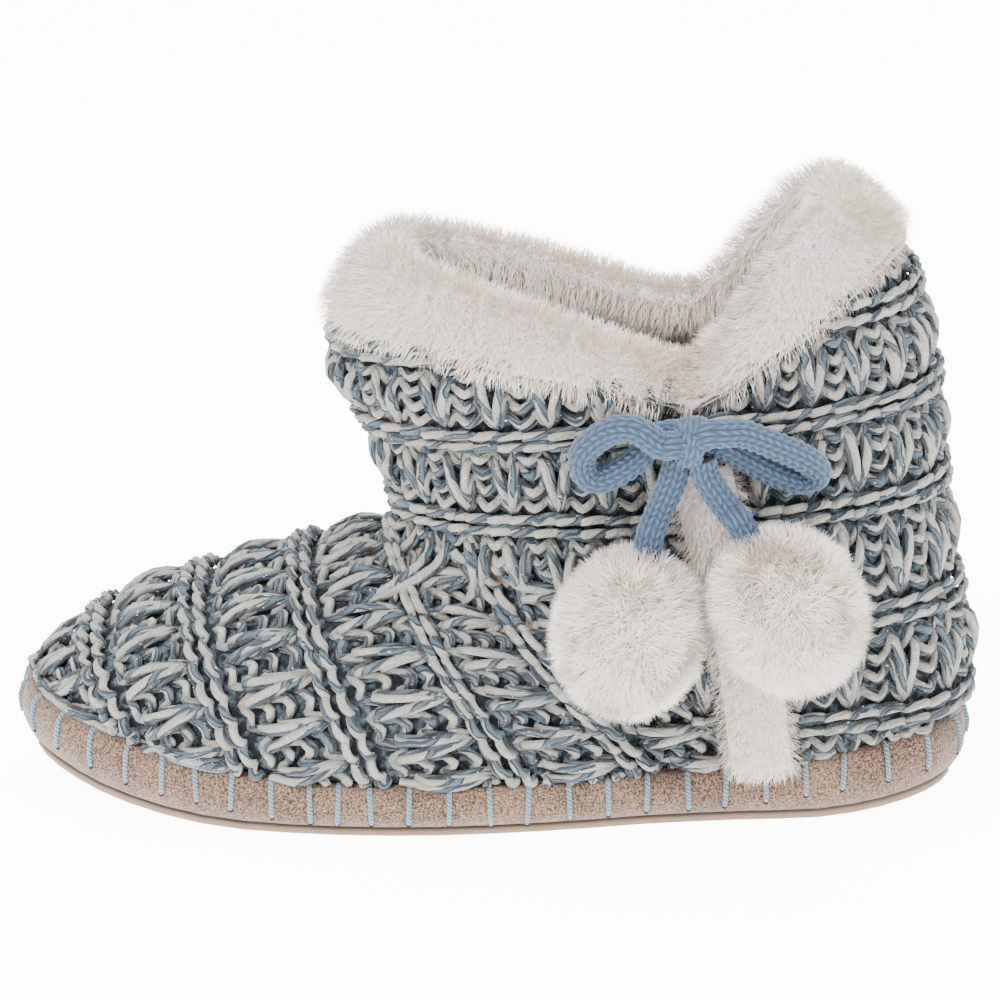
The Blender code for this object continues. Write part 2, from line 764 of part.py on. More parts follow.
def make_pompom(name, centre, lean, material):
    """Fur ball turned about its cord, with a blind socket for the cord and raised locks."""
    axis = -Vector(lean).normalized()
    side = axis.cross(Vector((0.0, 1.0, 0.0))).normalized()
    other = axis.cross(side)
    wide = POMPOM_WIDTH / 2 - POMPOM_LOCK
    tall = POMPOM_LENGTH / 2 - POMPOM_LOCK
    socket = CORD_DIAMETER / 2 + 2 * CLEARANCE
    floor = STRAIGHT_INTO_POMPOM[-1] - CLEARANCE
    mouth = math.asin(socket / wide)
    profile = [(socket, floor)]
    for turn in np.linspace(mouth, math.pi, POMPOM_RINGS + 1)[:-1]:
        profile.append((wide * math.sin(turn), tall * math.cos(turn)))
    points = []
    for radius, height in profile:
        for i in range(POMPOM_SIDES):
            angle = 2 * math.pi * i / POMPOM_SIDES
            around = side * math.cos(angle) + other * math.sin(angle)
            points.append(centre + axis * height + around * radius)
    rings = [
        list(range(i * POMPOM_SIDES, (i + 1) * POMPOM_SIDES)) for i in range(len(profile))
    ]
    faces = []
    for upper, lower in zip(rings, rings[1:]):
        faces += ring_faces(upper, lower)
    points += [centre + axis * floor, centre - axis * tall]
    for ring, pole in ((rings[0], len(points) - 2), (rings[-1], len(points) - 1)):
        for i in range(POMPOM_SIDES):
            faces.append((ring[i], ring[(i + 1) % POMPOM_SIDES], pole))
    piece = make_object(name, points, faces, material)
    outer = (wide + socket) / 2

    def on_the_ball(face):
        reach = face.calc_center_median() - centre
        return reach.dot(face.normal) > outer / 2 and len(face.verts) == 4

    raise_locks(piece, POMPOM_LOCK, on_the_ball, Vector(lean).normalized())
    return piece


def make_tie():
    """The bar that holds the bow on the knit, the knot, its loops, ends and pompoms."""
    blue = make_material("blue_cord", (0.12, 0.22, 0.36), 0.85)
    fur = bpy.data.materials["cream_fur"]
    x = place_along(TIE_ALONG)
    z = sole_top(0.0) + SHAFT_HEIGHT * TIE_UP
    along = np.linspace(-0.5, 0.5, 4) * BAR_LENGTH
    origin = np.array([(x + shift, 0.0, z) for shift in along])
    skin = skin_along(origin, np.broadcast_to(np.array((0.0, -1.0, 0.0)), origin.shape))
    lift = BAR_DIAMETER / 2 + 2 * CLEARANCE
    bar = [Vector(p) for p in skin + lift * skin_normal(skin)]
    make_cord("tie_bar", bar, BAR_DIAMETER, blue)
    front = min(p.y for p in bar) - BAR_DIAMETER / 2 - CLEARANCE
    centre = Vector((x, front - KNOT_DEPTH / 2, z + KNOT_HEIGHT / 2 - BAR_DIAMETER / 4))
    make_knot(centre, blue)
    for name, route in (("bow_loop_left", LOOP_LEFT), ("bow_loop_right", LOOP_RIGHT)):
        make_cord(name, [centre + Vector(p) for p in route], CORD_DIAMETER, blue)
    ends = (
        ("left", END_LEFT, POMPOM_LEFT, POMPOM_LEFT_LEAN),
        ("right", END_RIGHT, POMPOM_RIGHT, POMPOM_RIGHT_LEAN),
    )
    for side, route, place, lean in ends:
        ball = centre + Vector(place)
        hang = Vector(lean).normalized()
        straight = [ball - hang * distance for distance in STRAIGHT_INTO_POMPOM]
        line = [centre + Vector(p) for p in route] + straight
        make_cord(f"cord_end_{side}", line, CORD_DIAMETER, blue)
        make_pompom(f"pompom_{side}", ball, lean, fur)


def clear_scene():
    for piece in list(bpy.data.objects):
        bpy.data.objects.remove(piece, do_unlink=True)


clear_scene()
make_outsole()
make_foam_sole()
make_insole()
outer_rows, inner_rows = upper_rows()
make_upper(outer_rows, inner_rows)
make_cuff(outer_rows[:, -1].copy())
make_side_strip()
make_tie()
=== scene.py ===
"""Looks of a knitted bootie slipper, the left shoe: marled knit, faux fur, suede sole, cord bow.

The toe points along -X, the outer side faces -Y and +Z is up, in metres, as in the frame.
"""

import math
from collections import namedtuple

import bmesh
import bpy
import numpy as np
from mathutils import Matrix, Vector
from mathutils.bvhtree import BVHTree


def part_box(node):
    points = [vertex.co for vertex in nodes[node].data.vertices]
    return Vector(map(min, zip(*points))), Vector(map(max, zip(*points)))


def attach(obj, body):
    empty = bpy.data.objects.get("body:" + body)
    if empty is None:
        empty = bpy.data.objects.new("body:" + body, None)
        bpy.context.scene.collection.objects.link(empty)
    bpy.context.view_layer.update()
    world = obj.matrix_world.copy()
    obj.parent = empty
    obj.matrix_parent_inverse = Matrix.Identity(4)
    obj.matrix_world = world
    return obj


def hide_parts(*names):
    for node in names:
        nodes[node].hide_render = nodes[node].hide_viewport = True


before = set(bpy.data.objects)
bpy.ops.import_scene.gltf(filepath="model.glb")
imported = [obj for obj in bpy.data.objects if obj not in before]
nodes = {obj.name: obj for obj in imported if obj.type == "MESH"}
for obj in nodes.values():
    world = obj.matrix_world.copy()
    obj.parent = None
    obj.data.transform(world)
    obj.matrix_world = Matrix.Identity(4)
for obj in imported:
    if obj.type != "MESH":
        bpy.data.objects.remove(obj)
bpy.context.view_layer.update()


# Camera
# A long lens looks at the outer side of the shoe, a little from above, as a catalogue
# picture is taken. The picture is 1000 pixels square.
CAMERA_AZIMUTH = math.radians(1.0)
CAMERA_ELEVATION = math.radians(20.0)
CAMERA_DISTANCE = 1.5
CAMERA_TARGET = Vector((0.0, 0.0, 0.075))
FOCAL_PIXELS = 5610.0
TARGET_PIXEL = (493.7, 513.6)
PICTURE = 1000.0
SENSOR_WIDTH = 36.0


def add_object(name, data):
    """A new object in the scene."""
    made = bpy.data.objects.new(name, data)
    bpy.context.scene.collection.objects.link(made)
    return made


def place_camera():
    level, rise = math.cos(CAMERA_ELEVATION), math.sin(CAMERA_ELEVATION)
    away = Vector((math.sin(CAMERA_AZIMUTH) * level, -math.cos(CAMERA_AZIMUTH) * level, rise))
    lens = bpy.data.cameras.new("camera")
    lens.sensor_width = SENSOR_WIDTH
    lens.lens = FOCAL_PIXELS / PICTURE * SENSOR_WIDTH
    lens.shift_x = (PICTURE / 2 - TARGET_PIXEL[0]) / PICTURE
    lens.shift_y = (TARGET_PIXEL[1] - PICTURE / 2) / PICTURE
    lens.clip_start, lens.clip_end = 0.05, 20.0
    camera = add_object("camera", lens)
    camera.location = CAMERA_TARGET + away * CAMERA_DISTANCE
    camera.rotation_euler = away.to_track_quat("Z", "Y").to_euler()
    bpy.context.scene.camera = camera


place_camera()


# Cord bow
# A round knitted cord, light blue, about 7 mm thick. Its two loops leave the sides of the
# knot, and its two ends hang from it into the pompoms. The routes repeat the part's own.
UP = Vector((0.0, 0.0, 1.0))
CORD_DIAMETER = 0.0072
CORD_WALES = 7
CORD_STITCH = 0.0025
CORD_RELIEF = 0.00080
CORD_SIDES = 56
CORD_STEP = 0.00055
CORD_BLUE = (0.0165, 0.046, 0.092)
CORD_FIBRE = (0.12, 0.19, 0.27)
LOOP_LEFT = (
    (-0.0052, -0.0042, 0.0004),
    (-0.0079, -0.0042, 0.0006),
    (-0.0144, -0.0032, 0.0043),
    (-0.0208, -0.0015, 0.0031),
    (-0.0263, 0.0000, -0.0015),
    (-0.0280, 0.0012, -0.0059),
    (-0.0264, 0.0022, -0.0102),
    (-0.0228, 0.0028, -0.0113),
    (-0.0176, 0.0032, -0.0089),
    (-0.0131, 0.0034, -0.0054),
    (-0.0100, 0.0035, -0.0014),
    (-0.0077, 0.0035, 0.0004),
    (-0.0052, 0.0035, 0.0008),
)
LOOP_RIGHT = (
    (0.0052, -0.0042, 0.0036),
    (0.0081, -0.0040, 0.0036),
    (0.0133, -0.0018, 0.0029),
    (0.0221, 0.0012, -0.0015),
    (0.0285, 0.0038, -0.0053),
    (0.0324, 0.0066, -0.0090),
    (0.0328, 0.0088, -0.0120),
    (0.0297, 0.0096, -0.0138),
    (0.0254, 0.0090, -0.0128),
    (0.0197, 0.0074, -0.0098),
    (0.0130, 0.0054, -0.0054),
    (0.0081, 0.0038, -0.0022),
    (0.0052, 0.0036, -0.0022),
)
END_LEFT = ((-0.0030, 0.0008, -0.0045), (-0.0044, 0.0010, -0.0105), (-0.0078, 0.0000, -0.0190))
END_RIGHT = ((0.0030, -0.0008, -0.0045), (0.0044, -0.0010, -0.0100), (0.0112, -0.0018, -0.0195))
POMPOM_LEFT = Vector((-0.0155, -0.0084, -0.0494))
POMPOM_RIGHT = Vector((0.0254, -0.0101, -0.0422))
POMPOM_LEFT_LEAN = Vector((-0.208, -0.231, -0.950))
POMPOM_RIGHT_LEAN = Vector((0.490, -0.220, -0.843))
STRAIGHT_INTO_POMPOM = (0.0270, 0.0230, 0.0000)
INTO_KNOT = (0.45, 0.60, 0.50)
knot_low, knot_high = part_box("knot")
knot_centre = (knot_low + knot_high) / 2


def smooth_route(route):
    """A dense line along a smooth curve through a route's own points."""
    ends = [2 * route[0] - route[1], *route, 2 * route[-1] - route[-2]]
    line = []
    for before, start, stop, after in zip(ends, ends[1:], ends[2:], ends[3:]):
        for t in np.linspace(0.0, 1.0, 12, endpoint=False):
            bend = (2 * before - 5 * start + 4 * stop - after) * t**2
            swing = (3 * start - before - 3 * stop + after) * t**3
            line.append(0.5 * (2 * start + (stop - before) * t + bend + swing))
    return evenly_spaced(np.array([*line, route[-1]]), CORD_STEP)


def run_along(line):
    """Distance from a line's start to each of its points."""
    steps = np.linalg.norm(np.diff(line, axis=0), axis=1)
    return np.concatenate(((0.0,), np.cumsum(steps)))


def evenly_spaced(line, step):
    run = run_along(line)
    at = np.linspace(0.0, run[-1], max(2, int(round(run[-1] / step)) + 1))
    return np.stack([np.interp(at, run, line[:, i]) for i in range(3)], axis=1)


def new_node(tree, kind, inputs=None, **settings):
    """A node with its settings, and with values for some of its inputs."""
    node = tree.nodes.new(kind)
    for name, value in settings.items():
        setattr(node, name, value)
    for name, value in (inputs or {}).items():
        node.inputs[name].default_value = value
    return node


def new_tree(name, inputs, output):
    """A tree of geometry nodes with named inputs, with its input node and output node."""
    tree = bpy.data.node_groups.new(name, "GeometryNodeTree")
    for socket, kind in inputs.items():
        tree.interface.new_socket(socket, in_out="INPUT", socket_type="NodeSocket" + kind)
    tree.interface.new_socket(output, in_out="OUTPUT", socket_type="NodeSocketGeometry")
    return tree, new_node(tree, "NodeGroupInput"), new_node(tree, "NodeGroupOutput")


def join_up(tree, links):
    """Links nodes in rows of a node, its output, the next node and its input."""
    for source, way_out, target, way_in in links:
        tree.links.new(source.outputs[way_out], target.inputs[way_in])


def strand_tube_tree():
    """Sweeps a circle along every curve, and stores where each point is on its strand:
    cosine and sine of the turn round it, and length along it."""
    inputs = {"Curves": "Geometry", "Radius": "Float", "Sides": "Int", "Material": "Material"}
    tree, given, made = new_tree("strand_tube", inputs, "Tubes")
    along = new_node(tree, "GeometryNodeCaptureAttribute", domain="POINT")
    along.capture_items.new("FLOAT", "Length")
    place = new_node(tree, "GeometryNodeSplineParameter")
    circle = new_node(tree, "GeometryNodeCurvePrimitiveCircle", {"Radius": 1.0}, mode="RADIUS")
    turn = new_node(tree, "GeometryNodeCaptureAttribute", domain="POINT")
    turn.capture_items.new("VECTOR", "Turn")
    position = new_node(tree, "GeometryNodeInputPosition")
    sized = new_node(tree, "GeometryNodeTransform")
    sweep = new_node(tree, "GeometryNodeCurveToMesh", {"Fill Caps": True})
    parts = new_node(tree, "ShaderNodeSeparateXYZ")
    strand = new_node(tree, "ShaderNodeCombineXYZ")
    inputs = {"Name": "strand"}
    stored = new_node(tree, "GeometryNodeStoreNamedAttribute", inputs, data_type="FLOAT_VECTOR")
    smooth = new_node(tree, "GeometryNodeSetShadeSmooth")
    real = new_node(tree, "GeometryNodeRealizeInstances")
    finish = new_node(tree, "GeometryNodeSetMaterial")
    links = (
        (given, "Curves", along, "Geometry"),
        (place, "Length", along, "Length"),
        (given, "Sides", circle, "Resolution"),
        (circle, "Curve", turn, "Geometry"),
        (position, "Position", turn, "Turn"),
        (turn, "Geometry", sized, "Geometry"),
        (given, "Radius", sized, "Scale"),
        (along, "Geometry", sweep, "Curve"),
        (sized, "Geometry", sweep, "Profile Curve"),
        (turn, "Turn", parts, "Vector"),
        (parts, "X", strand, "X"),
        (parts, "Y", strand, "Y"),
        (along, "Length", strand, "Z"),
        (sweep, "Mesh", stored, "Geometry"),
        (strand, "Vector", stored, "Value"),
        (stored, "Geometry", smooth, "Geometry"),
        (smooth, "Geometry", real, "Geometry"),
        (real, "Geometry", finish, "Geometry"),
        (given, "Material", finish, "Material"),
        (finish, "Geometry", made, "Tubes"),
    )
    join_up(tree, links)
    return tree


strand_tubes = strand_tube_tree()


def set_inputs(piece, tree, values):
    """Puts a tree on a piece and sets its named inputs by their sockets' identifiers."""
    modifier = piece.modifiers.new(tree.name, "NODES")
    modifier.node_group = tree
    for item in tree.interface.items_tree:
        if item.in_out == "INPUT" and item.name in values:
            modifier[item.identifier] = values[item.name]
    piece.update_tag()
    bpy.context.view_layer.update()


def plain_mesh(piece, name):
    """The evaluated result of a piece's modifiers, as a mesh object of its own."""
    seen = piece.evaluated_get(bpy.context.evaluated_depsgraph_get())
    mesh = bpy.data.meshes.new_from_object(seen)
    piece.modifiers.clear()
    bpy.data.objects.remove(piece, do_unlink=True)
    mesh.name = name
    return add_object(name, mesh)


def tubes_along(name, lines, radius, sides, material):
    """Round strands along many lines of points, as one mesh."""
    curve = bpy.data.curves.new(name + "_lines", "CURVE")
    curve.dimensions = "3D"
    for line in lines:
        spline = curve.splines.new("POLY")
        spline.points.add(len(line) - 1)
        flat = np.ones((len(line), 4), dtype=np.float32)
        flat[:, :3] = line
        spline.points.foreach_set("co", flat.ravel())
    holder = add_object(name + "_lines", curve)
    set_inputs(holder, strand_tubes, {"Radius": radius, "Sides": sides, "Material": material})
    return plain_mesh(holder, name)


def new_material(name, colour, roughness, sheen=0.0):
    """A material with its shader, ready for links to colour and bump."""
    material = bpy.data.materials.new(name)
    material.use_nodes = True
    shader = material.node_tree.nodes["Principled BSDF"]
    shader.inputs["Base Color"].default_value = (*colour, 1.0)
    shader.inputs["Roughness"].default_value = roughness
    shader.inputs["Sheen Weight"].default_value = sheen
    shader.inputs["Sheen Roughness"].default_value = 0.5
    return material, material.node_tree, shader


def mix_colours(tree, factor, first, second):
    """A colour between two others; either may be a colour or a node's output."""
    mix = new_node(tree, "ShaderNodeMix", data_type="RGBA")
    tree.links.new(factor, mix.inputs["Factor"])
    for socket, value in ((mix.inputs[6], first), (mix.inputs[7], second)):
        if isinstance(value, tuple):
            socket.default_value = (*value, 1.0)
        else:
            tree.links.new(value, socket)
    return mix.outputs[2]


def calculate(tree, operation, *values):
    """One step of arithmetic on numbers or node outputs."""
    node = new_node(tree, "ShaderNodeMath", operation=operation)
    for socket, value in zip(node.inputs, values):
        if isinstance(value, (int, float)):
            socket.default_value = value
        else:
            tree.links.new(value, socket)
    return node.outputs[0]


def times(tree, first, second):
    return calculate(tree, "MULTIPLY", first, second)


def darker(colour, share):
    return tuple(share * c for c in colour)


def object_noise(tree, scale, detail=3.0, stretch=(1.0, 1.0, 1.0)):
    """Noise at a number of grains per metre, on the piece's own coordinates."""
    place = new_node(tree, "ShaderNodeTexCoord")
    mapping = new_node(tree, "ShaderNodeMapping", {"Scale": stretch})
    noise = new_node(tree, "ShaderNodeTexNoise", {"Scale": scale, "Detail": detail})
    tree.links.new(place.outputs["Object"], mapping.inputs["Vector"])
    tree.links.new(mapping.outputs["Vector"], noise.inputs["Vector"])
    return noise.outputs["Fac"]


def add_bump(tree, shader, height, distance, colour=None):
    """Bump of a depth, with the colour where one is given."""
    bump = new_node(tree, "ShaderNodeBump", {"Distance": distance, "Strength": 1.0})
    tree.links.new(height, bump.inputs["Height"])
    tree.links.new(bump.outputs["Normal"], shader.inputs["Normal"])
    if colour is not None:
        tree.links.new(colour, shader.inputs["Base Color"])


def cord_material():
    """Blue knitted cord: its stitches are real; the material adds fibre, with painted shade in
    their grooves and painted light on their legs.
    """
    material, tree, shader = new_material("blue_knitted_cord", CORD_BLUE, 0.85, sheen=0.25)
    # Painted shade and light: the colour darkens in the grooves between stitches and lightens on
    # their raised legs.
    shade = new_node(tree, "ShaderNodeAttribute", attribute_name="relief")
    light = tuple(2.2 * c + 0.01 for c in CORD_BLUE)
    deep = mix_colours(tree, shade.outputs["Fac"], darker(CORD_BLUE, 0.10), light)
    grain = object_noise(tree, 2600.0, 2.0)
    colour = mix_colours(tree, times(tree, grain, 0.3), deep, CORD_FIBRE)
    add_bump(tree, shader, grain, 0.00012, colour)
    return material


cord_blue = cord_material()


def rows_of(items, name):
    """Vectors stored on a mesh's points, as rows."""
    values = np.zeros(len(items) * 3, dtype=np.float32)
    items.foreach_get(name, values)
    return values.reshape(-1, 3)


def store_values(mesh, name, values):
    stored = mesh.attributes.new(name, "FLOAT", "POINT")
    stored.data.foreach_set("value", np.asarray(values, dtype=np.float32))


def raise_cord_stitches(piece):
    """Lifts the V of each stitch out of a cord's surface: wales round it, courses along it."""
    mesh = piece.data
    strand = rows_of(mesh.attributes["strand"].data, "vector")
    around = np.arctan2(strand[:, 1], strand[:, 0]) / math.tau * CORD_WALES
    wale = around - np.floor(around)
    from_middle = np.abs(wale - 0.5) * 2
    course = strand[:, 2] / CORD_STITCH - 0.95 * from_middle
    leg = 0.5 + 0.5 * np.cos(math.tau * course)
    across = 1 - (2 * np.abs(from_middle - 0.5)) ** 2.4
    relief = np.sqrt(np.clip(across, 0.0, 1.0)) * (0.15 + 0.85 * leg)
    raised = rows_of(mesh.vertices, "normal") * ((relief - 0.6) * CORD_RELIEF)[:, None]
    moved = rows_of(mesh.vertices, "co") + raised
    mesh.vertices.foreach_set("co", moved.ravel())
    store_values(mesh, "relief", relief)
    mesh.update()


def on_root(piece, node=None):
    """Puts a piece on the one body, and hides the node it stands for where one is given."""
    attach(piece, "root")
    if node:
        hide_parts(node)


def hang_cord(node, line):
    """One length of the cord along its line."""
    piece = tubes_along(node + "_cord", [line], CORD_DIAMETER / 2, CORD_SIDES, cord_blue)
    raise_cord_stitches(piece)
    on_root(piece, node)


def end_line(route, ball, lean):
    hang = lean.normalized()
    straight = [knot_centre + ball - hang * distance for distance in STRAIGHT_INTO_POMPOM]
    return smooth_route([knot_centre + Vector(p) for p in route] + straight)


def loop_line(route):
    """A loop of the bow, with both its ends run on into the knot."""
    route = [Vector(p) for p in route]
    first, last = (
        Vector([c * share for c, share in zip(end, INTO_KNOT)]) for end in (route[0], route[-1])
    )
    return smooth_route([knot_centre + p for p in [first, *route, last]])


hang_cord("bow_loop_left", loop_line(LOOP_LEFT))
hang_cord("bow_loop_right", loop_line(LOOP_RIGHT))
hang_cord("cord_end_left", end_line(END_LEFT, POMPOM_LEFT, POMPOM_LEFT_LEAN))
hang_cord("cord_end_right", end_line(END_RIGHT, POMPOM_RIGHT, POMPOM_RIGHT_LEAN))


# Knot
# The cord's last wrap over the bow, pulled flat, with the bar that sews the bow to the
# knit behind it.
WRAP_HEIGHT = 0.0132
WRAP_DEPTH = 0.0120
WRAP_FLATNESS = 0.62
WRAP_SWAY = 0.0006


def tie_knot():
    turn = np.linspace(0.0, math.tau, 90)
    tube = CORD_DIAMETER / 2
    deep, high = (size / 2 - tube * WRAP_FLATNESS for size in (WRAP_DEPTH, WRAP_HEIGHT))
    wrap = np.stack((WRAP_SWAY * np.sin(turn), deep * np.cos(turn), high * np.sin(turn)), axis=1)
    line = evenly_spaced(wrap, CORD_STEP)
    piece = tubes_along("knot_wrap", [line], tube, CORD_SIDES, cord_blue)
    raise_cord_stitches(piece)
    mesh = piece.data
    shape = rows_of(mesh.vertices, "co")
    out = np.hypot(shape[:, 1] / WRAP_DEPTH, shape[:, 2] / WRAP_HEIGHT) * 2
    shape[:, 1:] /= np.maximum(out, 1.0)[:, None] ** 0.8
    mesh.vertices.foreach_set("co", (shape + np.array(knot_centre)).ravel())
    mesh.update()
    on_root(piece, "knot")


tie_knot()
bar_blue, bar_tree, bar_shader = new_material("bar_thread_blue", CORD_BLUE, 0.9, sheen=0.2)
add_bump(bar_tree, bar_shader, object_noise(bar_tree, 1500.0), 0.0003)
nodes["tie_bar"].data.materials.clear()
nodes["tie_bar"].data.materials.append(bar_blue)


# Sole
# A foam sole wrapped in suede-like microfibre, on a thin pale outsole, with a plush
# insole inside. The solids keep their shapes and places.
SUEDE_TAN = (0.032, 0.018, 0.0105)
SUEDE_LIGHT = (0.32, 0.198, 0.126)
OUTSOLE_PALE = (0.26, 0.185, 0.13)
PLUSH_TAN = (0.48, 0.38, 0.30)


def merged_copy(node, name):
    """A copy of a node with its split corners joined."""
    shape = bmesh.new()
    shape.from_mesh(nodes[node].data)
    bmesh.ops.remove_doubles(shape, verts=shape.verts, dist=2e-6)
    bmesh.ops.join_triangles(
        shape, faces=shape.faces, angle_face_threshold=0.7, angle_shape_threshold=1.5
    )
    mesh = bpy.data.meshes.new(name)
    shape.to_mesh(mesh)
    shape.free()
    mesh.shade_smooth()
    return add_object(name, mesh)


def suede_material():
    """Brushed microfibre: fine short nap, soft patches where it lies another way."""
    material, tree, shader = new_material("suede_microfibre", SUEDE_TAN, 0.95, sheen=0.35)
    nap = object_noise(tree, 1900.0, 5.0)
    patches = object_noise(tree, 70.0, 3.0)
    soft_patches = times(tree, patches, 0.16)
    nap_tone = calculate(tree, "ADD", nap, soft_patches)
    sharp = new_node(tree, "ShaderNodeMapRange", {"From Min": 0.47, "From Max": 0.73})
    tree.links.new(nap_tone, sharp.inputs["Value"])
    colour = mix_colours(tree, sharp.outputs["Result"], SUEDE_TAN, SUEDE_LIGHT)
    add_bump(tree, shader, nap, 0.00035, colour)
    return material


def outsole_material():
    material, tree, shader = new_material("outsole_rubber", OUTSOLE_PALE, 0.7)
    add_bump(tree, shader, object_noise(tree, 900.0), 0.0002)
    return material


def plush_material():
    material, tree, shader = new_material("plush_lining", PLUSH_TAN, 0.95, sheen=0.4)
    pile = object_noise(tree, 500.0, 5.0)
    colour = mix_colours(tree, pile, darker(PLUSH_TAN, 0.6), PLUSH_TAN)
    add_bump(tree, shader, pile, 0.0016, colour)
    return material


def dress(node, name, material):
    piece = merged_copy(node, name)
    piece.data.materials.append(material)
    on_root(piece, node)
    return piece


plush_lining = plush_material()
suede_sole = dress("sole_body", "suede_sole", suede_material())
dress("outsole", "pale_outsole", outsole_material())
dress("insole", "plush_insole", plush_lining)


def tree_of(*pieces):
    """A tree that rays can be cast at, of the triangles of one or more pieces."""
    points, faces = [], []
    for piece in pieces:
        mesh = piece.data
        mesh.calc_loop_triangles()
        first = len(points)
        points += [v.co for v in mesh.vertices]
        faces += [[first + i for i in t.vertices] for t in mesh.loop_triangles]
    return BVHTree.FromPolygons(points, faces)


def way_round(turn):
    """Level direction at a turn, from the toe on round by the outer side."""
    return Vector((-math.cos(turn), -math.sin(turn), 0.0))


def strand_parts(tree):
    """Cosine and sine of the turn round a strand, and length along it."""
    strand = new_node(tree, "ShaderNodeAttribute", attribute_name="strand")
    parts = new_node(tree, "ShaderNodeSeparateXYZ")
    tree.links.new(strand.outputs["Vector"], parts.inputs["Vector"])
    return parts.outputs["X"], parts.outputs["Y"], parts.outputs["Z"]


# Blanket stitches
# Blue thread round the whole sole: a line along the feather edge, and a stitch down the
# suede about every 10 mm that ends in a needle hole.
STITCH_SPACING = 0.0105
STITCH_PHASE = 0.3
STITCH_DROP = 0.0092
THREAD_RADIUS = 0.00068
THREAD_BLUE = (0.15, 0.225, 0.295)
NEEDLE_HOLE_RADIUS = 0.0007
OUTLINE_HEIGHT = 0.020
OUTLINE_REACH = 0.085
FEATHER_STEP = 0.0016
FEATHER_LOWEST, FEATHER_HIGHEST, FEATHER_SEARCH = 0.012, 0.050, 0.00025

# Rays at the sole's rim: how far out they start, how far they go, and the length taken
# where they meet no knit
OUT_OF_SOLE, THROUGH_SOLE, NO_KNIT = 0.05, 0.09, 0.055


def thread_material():
    """Soft blue thread of two plies, seen as a twist along it, with painted shade in the grooves
    between the plies and painted light on their crests.
    """
    material, tree, shader = new_material("stitch_thread", THREAD_BLUE, 0.7, sheen=0.3)
    cosine, sine, length = strand_parts(tree)
    turn = calculate(tree, "ARCTAN2", sine, cosine)
    twist = calculate(tree, "ADD", turn, times(tree, length, 3000.0))
    ply = calculate(tree, "ABSOLUTE", calculate(tree, "SINE", twist))
    # Painted shade and light: darker where the plies meet, lighter on their crowns.
    colour = mix_colours(tree, ply, darker(THREAD_BLUE, 0.45), darker(THREAD_BLUE, 1.35))
    add_bump(tree, shader, ply, 0.0003, colour)
    return material


def feather_line():
    """Points round the shoe where the knit comes out of the sole's rim, with the way out
    from the shoe at each: the height at which the knit's skin passes the sole's."""
    knit = tree_of(nodes["upper"])
    outline = []
    for turn in np.linspace(0.0, math.tau, 1441)[:-1]:
        way = way_round(turn)
        origin = Vector((OUTLINE_REACH * -math.cos(turn), 0.0, OUTLINE_HEIGHT))
        hit = suede_hull.ray_cast(origin + way * 0.3, -way, 0.4)[0]
        if hit is not None:
            outline.append((hit.x, hit.y, 0.0))
    outline.append(outline[0])
    outline = evenly_spaced(np.array(outline), FEATHER_STEP)[:-1]
    heading = np.roll(outline, -2, axis=0) - np.roll(outline, 2, axis=0)
    line, outward = [], []
    for point, along in zip(outline, heading):
        out = Vector((-along[1], along[0], 0.0)).normalized()
        if out.dot(Vector((point[0] * 0.3, point[1], 0.0))) < 0:
            out.negate()
        for height in np.arange(FEATHER_LOWEST, FEATHER_HIGHEST, FEATHER_SEARCH):
            start = Vector((point[0], point[1], height)) + out * OUT_OF_SOLE
            sole_hit = suede_hull.ray_cast(start, -out, THROUGH_SOLE)[3]
            knit_hit = knit.ray_cast(start, -out, THROUGH_SOLE)[3]
            if sole_hit is None or (knit_hit is not None and knit_hit < sole_hit):
                reach = knit_hit if knit_hit is not None else NO_KNIT
                line.append(start - out * reach)
                outward.append(out)
                break
    line = np.array(line)
    for _ in range(6):
        line = (np.roll(line, 1, axis=0) + 2 * line + np.roll(line, -1, axis=0)) / 4
    return line, outward


suede_hull = tree_of(suede_sole)
feather, feather_out = feather_line()
closed_feather = np.vstack((feather, feather[:1]))
closed_out = np.array([list(o) for o in [*feather_out, feather_out[0]]])


def sew_sole():
    run = run_along(closed_feather)
    count = int(round(run[-1] / STITCH_SPACING))
    spacing = run[-1] / count
    stitches, holes = [], []
    for number in range(count):
        place = (number + STITCH_PHASE) * spacing
        at = Vector([float(np.interp(place, run, closed_feather[:, i])) for i in range(3)])
        nearest = int(np.argmin(np.linalg.norm(feather - np.array(at), axis=1)))
        outward = feather_out[nearest]
        heading = Vector((-outward.y, outward.x, 0.0))
        drop_end = STITCH_DROP * (1 + 0.05 * math.sin(5.1 * number))
        points = [at + outward * THREAD_RADIUS * 0.6]
        for drop in np.linspace(0.0008, drop_end, 9):
            start = at + outward * 0.03 - UP * drop
            start += heading * 0.0005 * math.sin(2.4 * number) * drop / STITCH_DROP
            hit, normal, _, _ = suede_hull.ray_cast(start, -outward, 0.06)
            if hit is not None:
                points.append(hit + normal * THREAD_RADIUS * 0.6)
        end = points[-1]
        points.append(end - outward * 0.0014)
        stitches.append(np.array(points))
        below = end - UP * THREAD_RADIUS
        holes.append(np.array([below - outward * 0.0002, below - outward * 0.0015]))
    thread = thread_material()
    drops = tubes_along("blanket_stitches", stitches, THREAD_RADIUS, 8, thread)
    edge = closed_feather + closed_out * THREAD_RADIUS * 0.4
    edge_thread = tubes_along("feather_thread", [edge], THREAD_RADIUS * 0.85, 6, thread)
    dark, _, _ = new_material("needle_hole_shadow", (0.03, 0.02, 0.018), 0.95)
    pricks = tubes_along("needle_holes", holes, NEEDLE_HOLE_RADIUS, 8, dark)
    for piece in (drops, edge_thread, pricks):
        on_root(piece)


sew_sole()
